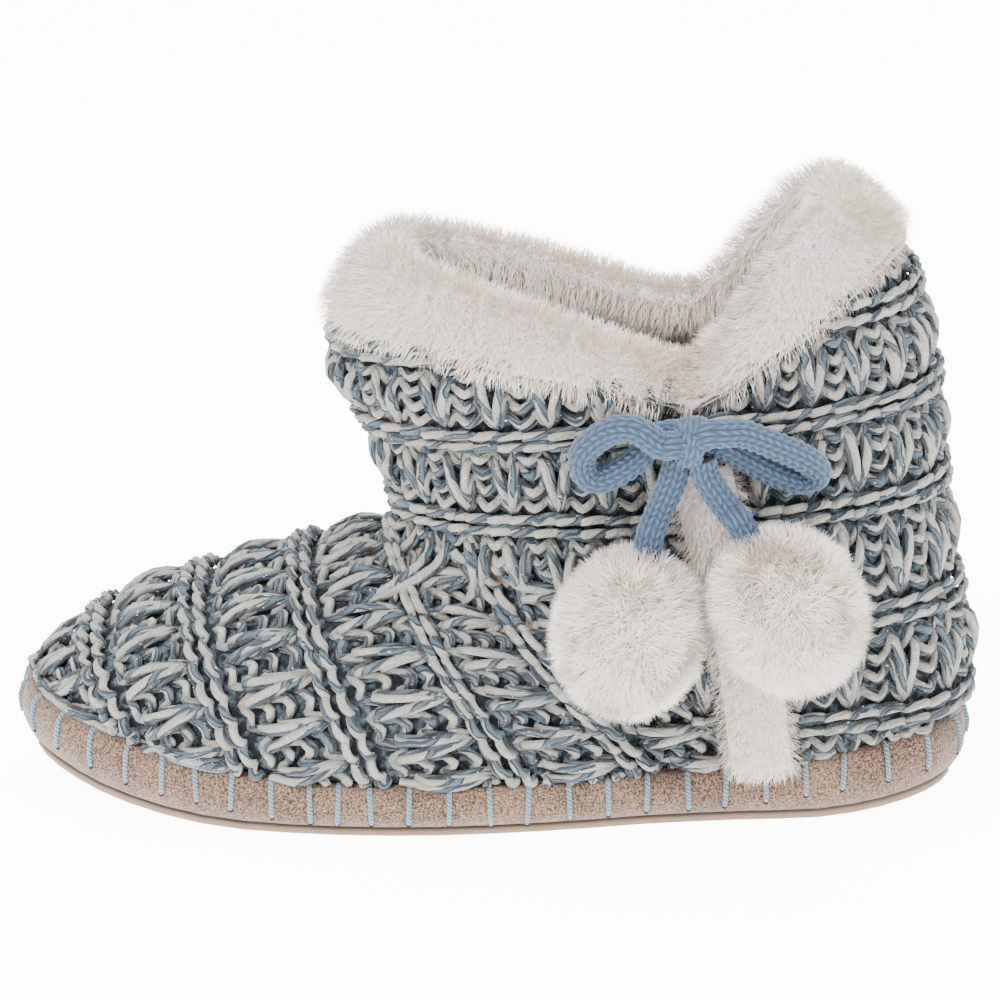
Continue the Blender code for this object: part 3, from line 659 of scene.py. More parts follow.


# Knit
# Chunky marled yarn: a cream strand laid with light blue, a thin dark one and silver
# metal thread, whose glints are painted as light specks in its colour; where the yarn
# lies deep it is darkened with painted shade. Bands of ribbing, four courses high, lie
# between pairs of purl ridges. The vamp's courses cross the foot, and the shaft's go
# round the ankle. Lengths are in metres, and rows count courses down from the cuff and
# from the toe.
STITCH_WIDTH = 0.0067
COLUMNS = 4
VAMP_WALES = 16
VAMP_ROWS = range(-3, 33)
TOP_ROWS = range(-7, 5)
LOW_ROWS = range(5, 22)
YARN_RADIUS = 0.00122
YARN_SIDES = 6
COMPANION_SIDES = 4
SAMPLES = 12
RIDGE_SLANT = 0.13
HEM_BEAD = 0.8
TUCK_DEPTH = 0.0034
YARN_UNDER_CUFF = 0.0050
EDGE_GAP = 0.0006
BAND = 6

# For each kind of stitch: 1 for a V and 0 for a bar, how far its yarn lies from the skin,
# how deep it bends, its reach and its shift in courses
OUTER_STITCH = (1.0, -0.0009, 0.0011, 1.85, 0.20)
INNER_STITCH = (1.0, -0.0018, 0.0009, 1.40, -0.10)
HIDDEN_STITCH = (1.0, -0.0037, 0.0004, 0.60, 0.00)
PURL_STITCH = (0.0, -0.0027, 0.0010, 0.20)
PURL_SHIFTS = {2: -0.42, 3: -0.30, 4: -0.18, 5: -0.06}
UPPER_RIDGE = (0.0, -0.0012, 0.0008, 0.10, -0.12)
LOWER_RIDGE = (0.0, -0.0012, 0.0008, 0.10, -0.30)
DEEPEST = -0.0044
COMPANION_RADIUS = 0.00072
COMPANION_OFFSET = 0.00165
COMPANION_TURN = 0.045
YARN_CREAM = (0.52, 0.50, 0.445)
YARN_BLUE = (0.105, 0.160, 0.205)
YARN_GREY = (0.032, 0.047, 0.058)
YARN_DARK_AND_SHADE = (0.006, 0.009, 0.012)
YARN_TWIST = 0.020
GLINT_SILVER = (0.75, 0.78, 0.80)

# Places of courses in metres: on the vamp along the top and along the sole's edge, on
# the shaft the height at its front and at its back
VAMP_COURSES = (
    (-3.5, -0.1238, -0.1230),
    (0.0, -0.1103, -0.0992),
    (6.0, -0.0827, -0.0654),
    (12.0, -0.0535, -0.0319),
    (18.0, -0.0297, 0.0078),
    (24.0, -0.0080, 0.0408),
    (29.0, 0.0120, 0.0680),
    (33.0, 0.0300, 0.0860),
)
SHAFT_COURSES = (
    (-7.0, 0.1330, 0.1500),
    (-5.5, 0.1270, 0.1420),
    (0.5, 0.1035, 0.1160),
    (6.5, 0.0800, 0.0890),
    (12.5, 0.0540, 0.0570),
    (22.5, 0.0085, 0.0075),
)
SHAFT_FRONT_X = -0.040
SHAFT_BACK_X = 0.115
SHAFT_AXIS_X = 0.045
SEAM_COURSE = 18.0
SEAM_X = (-0.035, -0.020, 0.015, 0.036, 0.068)
SEAM_Z = (0.0745, 0.0725, 0.0700, 0.0560, 0.0150)
BELOW_FEATHER = 0.006
knit_skin = tree_of(merged_copy("upper", "skin_probe"))
bpy.data.objects.remove(bpy.data.objects["skin_probe"], do_unlink=True)


def from_outside(origin, direction):
    """Where a ray from outside meets the knit's outer skin on the near side, if at all."""
    hit = knit_skin.ray_cast(origin + direction * 0.25, -direction, 0.25)[0]
    if hit is not None and (hit - origin).dot(direction) < 0.004:
        return None
    return hit


def sole_edge_height(x):
    """Height of the feather edge, where the knit meets the sole."""
    return float(np.interp(x, edge_x, edge_z))


upper_points = np.array([v.co for v in nodes["upper"].data.vertices])
outer_side = feather[feather[:, 1] < 0]
outer_side = outer_side[np.argsort(outer_side[:, 0])]
edge_x, edge_z = outer_side[:, 0], outer_side[:, 2] - 0.0006


def seam_height(x):
    """Height of the seam between vamp and shaft, which falls towards the sole at the back."""
    return float(np.interp(x, SEAM_X, SEAM_Z))


def shaft_grid():
    """Skin points for half courses round the shaft, some columns for each stitch round it."""
    course, front, back = np.array(SHAFT_COURSES).T
    rows = np.arange(-8.0, 22.51, 0.5)
    ring = []
    for turn in np.linspace(0.0, math.tau, 361):
        ring.append(from_outside(Vector((SHAFT_AXIS_X, 0.0, 0.100)), way_round(turn)))
    run = run_along(np.array(ring))
    stitches = 2 * int(round(run[-1] / STITCH_WIDTH / 2))
    places = np.linspace(0.0, run[-1], COLUMNS * stitches, endpoint=False)
    turns = np.interp(places, run, np.linspace(0.0, math.tau, 361))
    grid = np.zeros((len(rows), len(turns), 3))
    for i, row in enumerate(rows):
        z_front = np.interp(row, course, front)
        z_back = np.interp(row, course, back)
        if row < course[0]:
            z_front += (course[0] - row) * 0.0042
            z_back += (course[0] - row) * 0.0048
        for j, turn in enumerate(turns):
            way = way_round(turn)
            x = SHAFT_AXIS_X + 0.075 * way.x
            for _ in range(3):
                share = (x - SHAFT_FRONT_X) / (SHAFT_BACK_X - SHAFT_FRONT_X)
                z = z_front + (z_back - z_front) * share
                hit = from_outside(Vector((SHAFT_AXIS_X, 0.0, z)), way)
                if hit is None:
                    break
                x = hit.x
            if hit is None:
                grid[i, j] = grid[i - 1, j] if i else (np.nan, np.nan, np.nan)
                grid[i, j, 2] = z
            else:
                grid[i, j] = hit
    for i in range(len(rows) - 2, -1, -1):
        lost = np.isnan(grid[i, :, 0])
        grid[i, lost, :2] = grid[i + 1, lost, :2]
    return rows, grid, stitches


def vamp_grid():
    """Skin points for half courses across the vamp, from the sole's edge on one side over
    the vamp's ridge to the other, with the length of skin on each side of the ridge."""
    course, top, bottom = np.array(VAMP_COURSES).T
    rows = np.arange(-3.5, 33.01, 0.5)
    reach = VAMP_WALES * COLUMNS
    grid = np.zeros((len(rows), 2 * reach + 1, 3))
    room = np.zeros((len(rows), 2))
    for i, row in enumerate(rows):
        x_top = np.interp(row, course, top)
        x_bottom = np.interp(row, course, bottom)
        z_bottom = sole_edge_height(x_bottom)
        if row < SEAM_COURSE:
            ridge = knit_skin.ray_cast(Vector((x_top, 0.0, 0.2)), -UP, 0.4)[0]
            z_top = ridge.z if ridge is not None else z_bottom + 0.01
            z_top = min(z_top, 0.078)
        else:
            z_top = seam_height(x_top)
        up = Vector((x_top - x_bottom, 0.0, z_top - z_bottom)).normalized()
        origin = Vector((x_bottom, 0.0, z_bottom)) + up * 0.004
        for side, sign in ((0, -1.0), (1, 1.0)):
            line = []
            for turn in np.radians(np.linspace(-24.0, 90.0, 92)):
                way = Vector((0.0, sign, 0.0)) * math.cos(turn) + up * math.sin(turn)
                hit = from_outside(origin, way)
                if hit is not None and hit.z >= sole_edge_height(hit.x) - BELOW_FEATHER:
                    line.append(hit)
            line = np.array(line)
            run = run_along(line)
            heights = np.array([sole_edge_height(x) for x in line[:, 0]])
            hidden = float(run[line[:, 2] < heights].max(initial=0.0))
            if row < SEAM_COURSE:
                room[i, side] = run[-1] - hidden
            else:
                room[i, side] = room[i - 1, side]
            length = room[i, side] + hidden
            for j in range(reach + 1):
                from_edge = np.clip(length - j * STITCH_WIDTH / COLUMNS, 0.0, run[-1])
                point = [np.interp(from_edge, run, line[:, a]) for a in range(3)]
                grid[i, reach + int(sign) * j] = point
    return rows, grid, room


def relaxed(grid, passes, closed):
    """Evens out the facets of the solid that a grid of points was read from."""
    for _ in range(passes):
        inner = (grid[:-2] + grid[2:] + 2 * grid[1:-1]) / 4
        grid = np.concatenate((grid[:1], inner, grid[-1:]))
        if closed:
            grid = (np.roll(grid, 1, axis=1) + np.roll(grid, -1, axis=1) + 2 * grid) / 4
        else:
            inner = (grid[:, :-2] + grid[:, 2:] + 2 * grid[:, 1:-1]) / 4
            grid = np.concatenate((grid[:, :1], inner, grid[:, -1:]), axis=1)
    return grid


def unit(vectors):
    """Vectors of length 1 along others, or 0 where there is no way along."""
    return vectors / np.maximum(np.linalg.norm(vectors, axis=-1, keepdims=True), 1e-12)


def grid_normals(grid, closed):
    down = np.gradient(grid, axis=0)
    if closed:
        across = np.roll(grid, -1, axis=1) - np.roll(grid, 1, axis=1)
    else:
        across = np.gradient(grid, axis=1)
    return unit(np.cross(down, across))


def on_grid(values, rows, row, column, closed):
    """Values of a grid between its points, at courses and at columns."""
    at = np.clip((row - rows[0]) / (rows[1] - rows[0]), 0, len(rows) - 1.001)
    i = at.astype(int)
    a = (at - i)[:, None]
    j = np.floor(column).astype(int)
    b = (column - j)[:, None]
    width = values.shape[1]
    if closed:
        j, k = j % width, (j + 1) % width
    else:
        j = np.clip(j, 0, width - 1)
        k = np.clip(j + 1, 0, width - 1)
    near = values[i, j] * (1 - b) + values[i, k] * b
    far = values[i + 1, j] * (1 - b) + values[i + 1, k] * b
    return near * (1 - a) + far * a


def stitch_kind(course, wale):
    place = course % BAND
    if place in (0, 1):
        return (UPPER_RIDGE, LOWER_RIDGE)[place]
    if wale % 2:
        return (*PURL_STITCH, PURL_SHIFTS[place])
    return {3: OUTER_STITCH, 4: INNER_STITCH}.get(place, HIDDEN_STITCH)


def course_line(course, first, last, rng):
    """Yarn of one course from stitch to stitch: its place across, along and out."""
    count = last - first
    t = np.arange(count * SAMPLES + 1) / SAMPLES
    wale = first + np.minimum(np.floor(t), count - 1).astype(int)
    vee, stand, depth, reach, shift = np.array([stitch_kind(course, w) for w in wale]).T.copy()
    kernel = np.array((0.25, 0.5, 0.25))
    for values in (vee, stand, depth, reach, shift):
        for _ in range(2):
            padded = np.concatenate((values[:1], values, values[-1:]))
            values[:] = np.convolve(padded, kernel, mode="valid")
    angle = math.tau * t
    slack, lift = (
        np.interp(t, np.arange(count + 1), rng.uniform(low, high, count + 1))
        for low, high in ((0.93, 1.07), (-0.0003, 0.0003))
    )
    if course % BAND in (0, 1):
        across = first + t + RIDGE_SLANT * np.sin(angle)
        along = shift - reach * slack * np.cos(angle)
        out = stand + lift + depth * np.cos(angle + 0.6)
    else:
        straight = 4 * np.abs(t - np.floor(t) - 0.5) - 1
        across = first + t
        along = shift - reach * slack * (0.75 * straight + 0.25 * np.cos(angle))
        out = stand + lift - depth * (vee * np.cos(2 * angle) + (1 - vee) * np.cos(angle))
    return across, along, np.maximum(out, DEEPEST)


def knit_lines(kind, rows, grid, courses, spans):
    """Lines in space of the main yarn and of the thin one that runs beside it."""
    closed = kind == "shaft"
    normal = grid_normals(grid, closed)
    rng = np.random.default_rng(5 if closed else 9)
    lines, beside = [], []
    for course in courses:
        for first, last in spans(course):
            across, along, out = course_line(course, first, last, rng)
            column = across * COLUMNS + (0 if closed else (grid.shape[1] - 1) / 2)
            row = course + along
            point = on_grid(grid, rows, row, column, closed)
            way = unit(on_grid(normal, rows, row, column, closed))
            line = point + way * out[:, None]
            heading = np.gradient(line, axis=0)
            side = unit(np.cross(way, heading))
            run = np.cumsum(np.linalg.norm(heading, axis=1))
            turn = math.tau * (run / COMPANION_TURN + 0.37 * course)
            offset = side * np.cos(turn)[:, None] - way * 0.5 * np.abs(np.sin(turn))[:, None]
            lines.append(line)
            beside.append(line + COMPANION_OFFSET * offset)
    return lines, beside


def runs_of(flags, first):
    """Stretches of True in a row of flags, as their first stitch and the one after."""
    spans, start = [], None
    for i, flag in enumerate(list(flags) + [False]):
        if flag and start is None:
            start = i
        if not flag and start is not None:
            spans.append((first + start, first + i))
            start = None
    return spans


def yarn_material(name, stops, twist):
    """One yarn of the knit: its plies turn round it in their colours, with painted shade where
    the yarn lies deep, and small painted highlights for the glints of its metal thread."""
    material, tree, shader = new_material(name, YARN_CREAM, 0.85, sheen=0.15)
    cosine, sine, length = strand_parts(tree)
    turn = calculate(tree, "ARCTAN2", sine, cosine)
    turn = calculate(tree, "DIVIDE", turn, math.tau)
    wander = times(tree, object_noise(tree, 60.0, 2.0), 2.2)
    along = calculate(tree, "DIVIDE", length, twist)
    phase = calculate(tree, "ADD", calculate(tree, "ADD", turn, along), wander)
    ramp = new_node(tree, "ShaderNodeValToRGB")
    for i, (place, colour) in enumerate(stops):
        stop = ramp.color_ramp.elements[i] if i < 2 else ramp.color_ramp.elements.new(place)
        stop.position = place
        stop.color = (*colour, 1.0)
    tree.links.new(calculate(tree, "FRACT", phase), ramp.inputs["Fac"])
    fibre = new_node(tree, "ShaderNodeTexNoise", {"Detail": 4.0, "Scale": 1.0})
    spread = new_node(tree, "ShaderNodeCombineXYZ")
    tree.links.new(times(tree, phase, 14.0), spread.inputs["X"])
    tree.links.new(times(tree, length, 900.0), spread.inputs["Y"])
    tree.links.new(spread.outputs["Vector"], fibre.inputs["Vector"])
    shade = times(tree, fibre.outputs["Fac"], 0.55)
    colour = mix_colours(tree, shade, ramp.outputs["Color"], YARN_GREY)
    # Painted shade: the yarn darkens towards the dark ply colour where it lies deep in the knit.
    depth = new_node(tree, "ShaderNodeAttribute", attribute_name="depth")
    recess_shade = times(tree, depth.outputs["Fac"], 0.80)
    colour = mix_colours(tree, recess_shade, colour, YARN_DARK_AND_SHADE)
    # Painted highlight: light silver specks in the colour stand for the glints of the real metal
    # thread.
    glint = calculate(tree, "GREATER_THAN", object_noise(tree, 700.0, 1.0, (1.0, 1.0, 2.5)), 0.735)
    colour = mix_colours(tree, glint, colour, GLINT_SILVER)
    grooves = calculate(tree, "SINE", times(tree, phase, 3 * math.pi))
    grooves = times(tree, calculate(tree, "ABSOLUTE", grooves), 0.7)
    height = calculate(tree, "ADD", grooves, times(tree, fibre.outputs["Fac"], 1.6))
    add_bump(tree, shader, height, 0.0010, colour)
    return material


MAIN_PLIES = (
    (0.00, YARN_CREAM),
    (0.56, YARN_CREAM),
    (0.58, YARN_DARK_AND_SHADE),
    (0.62, YARN_DARK_AND_SHADE),
    (0.65, YARN_BLUE),
    (0.78, YARN_BLUE),
    (0.80, YARN_DARK_AND_SHADE),
    (0.84, YARN_GREY),
    (0.91, YARN_GREY),
    (0.94, YARN_CREAM),
)
COMPANION_PLIES = (
    (0.00, YARN_DARK_AND_SHADE),
    (0.30, YARN_DARK_AND_SHADE),
    (0.34, YARN_BLUE),
    (0.62, YARN_BLUE),
    (0.66, YARN_GREY),
    (0.84, YARN_GREY),
    (0.88, YARN_DARK_AND_SHADE),
)


def hem_line(rise):
    """Edge stitches that run round just above the feather line, a bead for each stitch."""
    run = run_along(closed_feather)
    bead = np.cos(math.tau * run / (STITCH_WIDTH * HEM_BEAD))[:, None]
    return closed_feather + closed_out * (0.0003 * bead + 0.0002) + np.array((0.0, 0.0, rise))


def join_into(piece, other):
    """Makes two pieces one mesh."""
    with bpy.context.temp_override(active_object=piece, selected_editable_objects=[piece, other]):
        bpy.ops.object.join()


def store_depth(piece):
    """Stores how deep each point of the yarn lies in the knit, from 0 to 1, for the yarn's painted
    shade.
    """
    depth = []
    for vertex in piece.data.vertices:
        near, normal, _, _ = knit_skin.find_nearest(vertex.co)
        depth.append((near - vertex.co).dot(normal))
    share = np.clip((np.array(depth) - 0.0012) / 0.0030, 0.0, 1.0)
    store_values(piece.data, "depth", share)


def edge_by_x(points, pick):
    """Height of a piece's top or lower edge at each x, from its points."""
    middles, heights = [], []
    bins = np.linspace(-0.050, 0.122, 34)
    for low, high in zip(bins, bins[1:]):
        found = points[(points[:, 0] >= low) & (points[:, 0] <= high), 2]
        if len(found):
            middles.append((low + high) / 2)
            heights.append(pick(found))
    return lambda x: np.interp(x, middles, heights)


def tuck_under(line, cuff_foot):
    """Draws the yarn in where the cuff lies over it, and ends it there."""
    foot = cuff_foot(line[:, 0])
    covered = np.clip((line[:, 2] - foot - 0.001) / 0.004, 0.0, 1.0)
    line[:, 2] = np.minimum(line[:, 2], foot + YARN_UNDER_CUFF)
    way = unit(line[:, :2] - np.array((SHAFT_AXIS_X, 0.0)))
    line[:, :2] -= way * (TUCK_DEPTH * covered)[:, None]


def keep_above_sole(line):
    """Lifts the yarn that would hang below the sole's edge."""
    apart = np.linalg.norm(line[:, None, :2] - feather[None, :, :2], axis=2)
    edge = feather[apart.argmin(axis=1), 2] + EDGE_GAP
    line[:, 2] = np.maximum(line[:, 2], edge)


def knit_upper():
    yarn = yarn_material("marled_yarn", MAIN_PLIES, YARN_TWIST)
    thin_yarn = yarn_material("companion_yarn", COMPANION_PLIES, YARN_TWIST / 2)
    rows, grid, stitches = shaft_grid()
    grid = relaxed(grid, 3, True)
    collar_edge = edge_by_x(upper_points[upper_points[:, 2] > 0.085], np.max)
    cuff_foot = edge_by_x(np.array([v.co for v in nodes["fur_cuff"].data.vertices]), np.min)

    def shaft_spans(course):
        i = int(round((course - rows[0]) * 2))
        flags = []
        for wale in range(stitches):
            x, _, z = grid[i, (wale * COLUMNS + 2) % grid.shape[1]]
            above_vamp = z > seam_height(x) - 0.0025 or x > 0.066
            over_sole = z > sole_edge_height(x) - 0.0030
            below_cuff = z < min(collar_edge(x) + 0.002, cuff_foot(x) + 0.005)
            flags.append(above_vamp and over_sole and below_cuff)
        if all(flags):
            return [(course % 7, course % 7 + stitches)]
        return runs_of(flags, 0)

    def vamp_spans(course):
        i = int(round((course - vamp_rows[0]) * 2))
        flags = []
        for wale in range(-VAMP_WALES, VAMP_WALES):
            side = 0 if wale < 0 else 1
            from_ridge = abs(wale + 0.5) * STITCH_WIDTH
            x, _, z = vamp[i, (VAMP_WALES + wale) * COLUMNS + 2]
            below_seam = z < seam_height(x) + 0.0010
            flags.append(below_seam and from_ridge < room[i, side] + 0.6 * STITCH_WIDTH)
        return runs_of(flags, -VAMP_WALES)

    low_lines = knit_lines("shaft", rows, grid, LOW_ROWS, shaft_spans)
    top_lines = knit_lines("shaft", rows, grid, TOP_ROWS, shaft_spans)
    for line in top_lines[0] + top_lines[1]:
        tuck_under(line, cuff_foot)
    vamp_rows, vamp, room = vamp_grid()
    vamp = relaxed(vamp, 2, False)
    vamp_lines = knit_lines("vamp", vamp_rows, vamp, VAMP_ROWS, vamp_spans)
    for line in low_lines[0] + low_lines[1] + vamp_lines[0] + vamp_lines[1]:
        keep_above_sole(line)
    low_lines[0].append(hem_line(YARN_RADIUS))
    low_lines[1].append(hem_line(YARN_RADIUS + COMPANION_OFFSET))
    knits = {"knit_shaft": top_lines, "knit_quarter": low_lines, "knit_vamp": vamp_lines}
    for name, (main, beside) in knits.items():
        piece = tubes_along(name, main, YARN_RADIUS, YARN_SIDES, yarn)
        thin = tubes_along(name + "_thin", beside, COMPANION_RADIUS, COMPANION_SIDES, thin_yarn)
        join_into(piece, thin)
        store_depth(piece)
        on_root(piece)


knit_upper()


# Backing
# The knit's dark ground, seen only between the yarns, with the wall's inner side. It
# stands for the upper's solid, drawn in by the depth of the yarn. Its near-black is painted
# shade between the yarns, marled with the blue of the yarn behind them.
BACKING_DEPTH = 0.0038
BACKING_GREY_AND_SHADE = (0.006, 0.009, 0.012)
BACKING_BLUE = (0.105, 0.140, 0.165)


def back_knit():
    piece = merged_copy("upper", "knit_backing")
    mesh = piece.data
    shell = tree_of(*(nodes[name] for name in ("upper", "sole_body", "insole")))
    outer = []
    for vertex in mesh.vertices:
        normal = vertex.normal
        side = normal.cross(UP)
        side = side.normalized() if side.length > 0.1 else Vector((0.0, 1.0, 0.0))
        up = side.cross(normal)
        start = vertex.co + normal * 0.001
        free = 0
        for right, rise in ((0, 0), (0.9, 0), (-0.9, 0), (0, 0.5), (0.6, 0.2), (-0.6, 0.2)):
            way = (normal + side * right + up * rise).normalized()
            if shell.ray_cast(start, way, 0.4)[0] is None:
                free += 1
        from_axis = vertex.co - Vector((SHAFT_AXIS_X, 0.0, vertex.co.z))
        outer.append(normal.dot(from_axis) > 0 if vertex.co.z > 0.085 else free >= 4)
    inward = [v.normal * BACKING_DEPTH for v in mesh.vertices]
    for vertex, is_outer, step in zip(mesh.vertices, outer, inward):
        if is_outer:
            vertex.co -= step
    # Painted shade: near black where the knit shows only shade between its yarns, marled with blue
    # yarn.
    ground, tree, shader = new_material("knit_ground", BACKING_GREY_AND_SHADE, 0.95)
    weave = object_noise(tree, 420.0, 5.0)
    marled = times(tree, calculate(tree, "SUBTRACT", weave, 0.47), 5.0)
    colour = mix_colours(tree, marled, BACKING_GREY_AND_SHADE, BACKING_BLUE)
    add_bump(tree, shader, weave, 0.0030, colour)
    mesh.materials.clear()
    mesh.materials.append(ground)
    mesh.materials.append(plush_lining)
    for face in mesh.polygons:
        face.material_index = 0 if any(outer[v] for v in face.vertices) else 1
    on_root(piece, "upper")


back_knit()


# Faux fur
# Cream fur with fine straight hairs, on the rolled cuff, the side strip and the pompoms,
# and a shorter tan pile as the lining, whose tan is partly painted shade inside the shoe.
# Each hair is a thin bent blade, painted darker and warmer towards its root as shade.
HAIR_WIDTH = 0.00025
FUR_CREAM = (0.94, 0.895, 0.83)
FUR_ROOT = (0.74, 0.60, 0.48)
LINING_TAN = (0.62, 0.52, 0.43)
LINING_ROOT = (0.36, 0.28, 0.22)


def hair_blade():
    """One hair of length 1: a strip that narrows and bends over to +X, with its share of
    the way to the tip stored on it."""
    points = [(0, -0.5, 0), (0, 0.5, 0), (0.14, -0.4, 0.58), (0.14, 0.4, 0.58), (0.45, 0, 1)]
    faces = [(0, 1, 3, 2), (2, 3, 4)]
    mesh = bpy.data.meshes.new("hair_blade")
    mesh.from_pydata(points, [], faces)
    store_values(mesh, "tip", [p[2] for p in points])
    return add_object("hair_blade", mesh)


def fur_pile_tree():
    """Hairs spread over a surface, each leaned and turned at random about a combing."""
    inputs = {"Skin": "Geometry", "Density": "Float", "Length": "Float", "Width": "Float"}
    inputs |= {"Ruffle": "Float", "Combing": "Vector", "Seed": "Int"}
    inputs |= {"Hair": "Object", "Material": "Material"}
    tree, given, made = new_tree("fur_pile", inputs, "Fur")
    spread = new_node(tree, "GeometryNodeDistributePointsOnFaces")
    hair = new_node(tree, "GeometryNodeObjectInfo")
    inputs = {"Min": (-1.0, -1.0, -1.0), "Max": (1.0, 1.0, 1.0)}
    jitter = new_node(tree, "FunctionNodeRandomValue", inputs, data_type="FLOAT_VECTOR")
    clump = new_node(tree, "ShaderNodeTexNoise", {"Scale": 130.0, "Detail": 2.0})
    centred = new_node(tree, "ShaderNodeVectorMath", {1: (0.5, 0.5, 0.5)}, operation="SUBTRACT")
    swirl = new_node(tree, "ShaderNodeVectorMath", {"Scale": 1.8}, operation="SCALE")
    comb, lean, upright = (
        new_node(tree, "ShaderNodeVectorMath", operation="ADD") for _ in range(3)
    )
    ruffle = new_node(tree, "ShaderNodeVectorMath", operation="SCALE")
    turned = new_node(tree, "FunctionNodeAxesToRotation", primary_axis="Z", secondary_axis="X")
    size = new_node(tree, "FunctionNodeRandomValue", {2: 0.78, 3: 1.04}, data_type="FLOAT")
    tall = new_node(tree, "ShaderNodeMath", operation="MULTIPLY")
    scale = new_node(tree, "ShaderNodeCombineXYZ")
    place = new_node(tree, "GeometryNodeInstanceOnPoints")
    real = new_node(tree, "GeometryNodeRealizeInstances")
    finish = new_node(tree, "GeometryNodeSetMaterial")
    links = (
        (given, "Skin", spread, "Mesh"),
        (given, "Density", spread, "Density"),
        (given, "Seed", spread, "Seed"),
        (given, "Seed", jitter, "Seed"),
        (given, "Hair", hair, "Object"),
        (clump, "Color", centred, 0),
        (centred, 0, swirl, 0),
        (given, "Combing", comb, 0),
        (swirl, 0, comb, 1),
        (jitter, 0, ruffle, 0),
        (given, "Ruffle", ruffle, "Scale"),
        (comb, 0, lean, 0),
        (ruffle, 0, lean, 1),
        (spread, "Normal", upright, 0),
        (ruffle, 0, upright, 1),
        (upright, 0, turned, "Primary Axis"),
        (lean, 0, turned, "Secondary Axis"),
        (size, 1, tall, 0),
        (given, "Length", tall, 1),
        (tall, 0, scale, "X"),
        (given, "Width", scale, "Y"),
        (tall, 0, scale, "Z"),
        (spread, "Points", place, "Points"),
        (hair, "Geometry", place, "Instance"),
        (turned, "Rotation", place, "Rotation"),
        (scale, "Vector", place, "Scale"),
        (place, "Instances", real, "Geometry"),
        (real, "Geometry", finish, "Geometry"),
        (given, "Material", finish, "Material"),
        (finish, "Geometry", made, "Fur"),
    )
    join_up(tree, links)
    return tree


def fur_material(name, tip_colour, root_colour):
    """Soft hair, a little uneven in tone, with painted shade that makes it darker and warmer
    towards its root.
    """
    material, tree, shader = new_material(name, tip_colour, 0.7, sheen=0.3)
    share = new_node(tree, "ShaderNodeAttribute", attribute_name="tip")
    # Painted shade: each hair darkens and warms from its tip to its root.
    tone = mix_colours(tree, share.outputs["Fac"], root_colour, tip_colour)
    uneven = times(tree, object_noise(tree, 60.0, 3.0), 0.28)
    colour = mix_colours(tree, uneven, tone, darker(tip_colour, 0.82))
    tree.links.new(colour, shader.inputs["Base Color"])
    return material


fur_pile = fur_pile_tree()
blade = hair_blade()
cream_fur = fur_material("faux_fur_cream", FUR_CREAM, FUR_ROOT)
# The lining's tan is partly painted shade: the inside of the shoe, darker and warmer than the
# cream fur.
tan_fur = fur_material("lining_fur_tan", LINING_TAN, LINING_ROOT)


Pile = namedtuple("Pile", "density length combing ruffle seed")


def grow_fur(skin, name, material, pile, node=None):
    """Covers a skin with hairs and joins them with it as one piece."""
    holder = skin.copy()
    holder.data = skin.data.copy()
    bpy.context.scene.collection.objects.link(holder)
    values = {field.capitalize(): value for field, value in pile._asdict().items()}
    values |= {"Width": HAIR_WIDTH, "Hair": blade, "Material": material}
    set_inputs(holder, fur_pile, values)
    fur = plain_mesh(holder, name)
    both = bmesh.new()
    both.from_mesh(fur.data)
    skin.data.materials.clear()
    both.from_mesh(skin.data)
    both.to_mesh(fur.data)
    both.free()
    if not fur.data.materials:
        fur.data.materials.append(material)
    bpy.data.objects.remove(skin, do_unlink=True)
    on_root(fur, node)


def fur_skin(node, drawn_in, smoothing):
    """The ground that a fur grows on: the node without its locks, drawn in."""
    piece = merged_copy(node, node + "_skin")
    shape = bmesh.new()
    shape.from_mesh(piece.data)
    for _ in range(smoothing):
        bmesh.ops.smooth_vert(
            shape, verts=shape.verts, factor=0.5, use_axis_x=True, use_axis_y=True, use_axis_z=True
        )
    shape.normal_update()
    for vertex in shape.verts:
        vertex.co -= vertex.normal * drawn_in
    shape.to_mesh(piece.data)
    shape.free()
    piece.data.shade_smooth()
    return piece


# The two ends of the cuff's strip of fur meet in a crease at the notch of the outer side
CREASE_FOOT = 0.0665
CREASE_LEAN = 0.12
CREASE_SIDE = -0.012
CREASE_WIDTH = 0.0045
CREASE_DEPTH = 0.0018
CREASE_BOTTOM = 0.116
DIP_WIDTH = 0.012
DIP_DEPTH = 0.0026


def shade_crease(material):
    """Paints shade along the crease where the two ends part, in the warm colour of the hair's
    roots.
    """
    tree = material.node_tree
    shader = tree.nodes["Principled BSDF"]
    colour = shader.inputs["Base Color"].links[0].from_socket
    place = new_node(tree, "ShaderNodeTexCoord")
    parts = new_node(tree, "ShaderNodeSeparateXYZ")
    tree.links.new(place.outputs["Object"], parts.inputs["Vector"])
    lean = times(tree, parts.outputs["Z"], CREASE_LEAN)
    offset = calculate(tree, "ADD", parts.outputs["X"], lean)
    offset = calculate(tree, "SUBTRACT", offset, CREASE_FOOT)
    away = calculate(tree, "DIVIDE", calculate(tree, "ABSOLUTE", offset), CREASE_WIDTH)
    near = calculate(tree, "MAXIMUM", calculate(tree, "SUBTRACT", 0.8, away), 0.0)
    outside = calculate(tree, "LESS_THAN", parts.outputs["Y"], CREASE_SIDE)
    factor = times(tree, near, outside)
    # Painted shade along the crease.
    tree.links.new(mix_colours(tree, factor, colour, FUR_ROOT), shader.inputs["Base Color"])
    return material


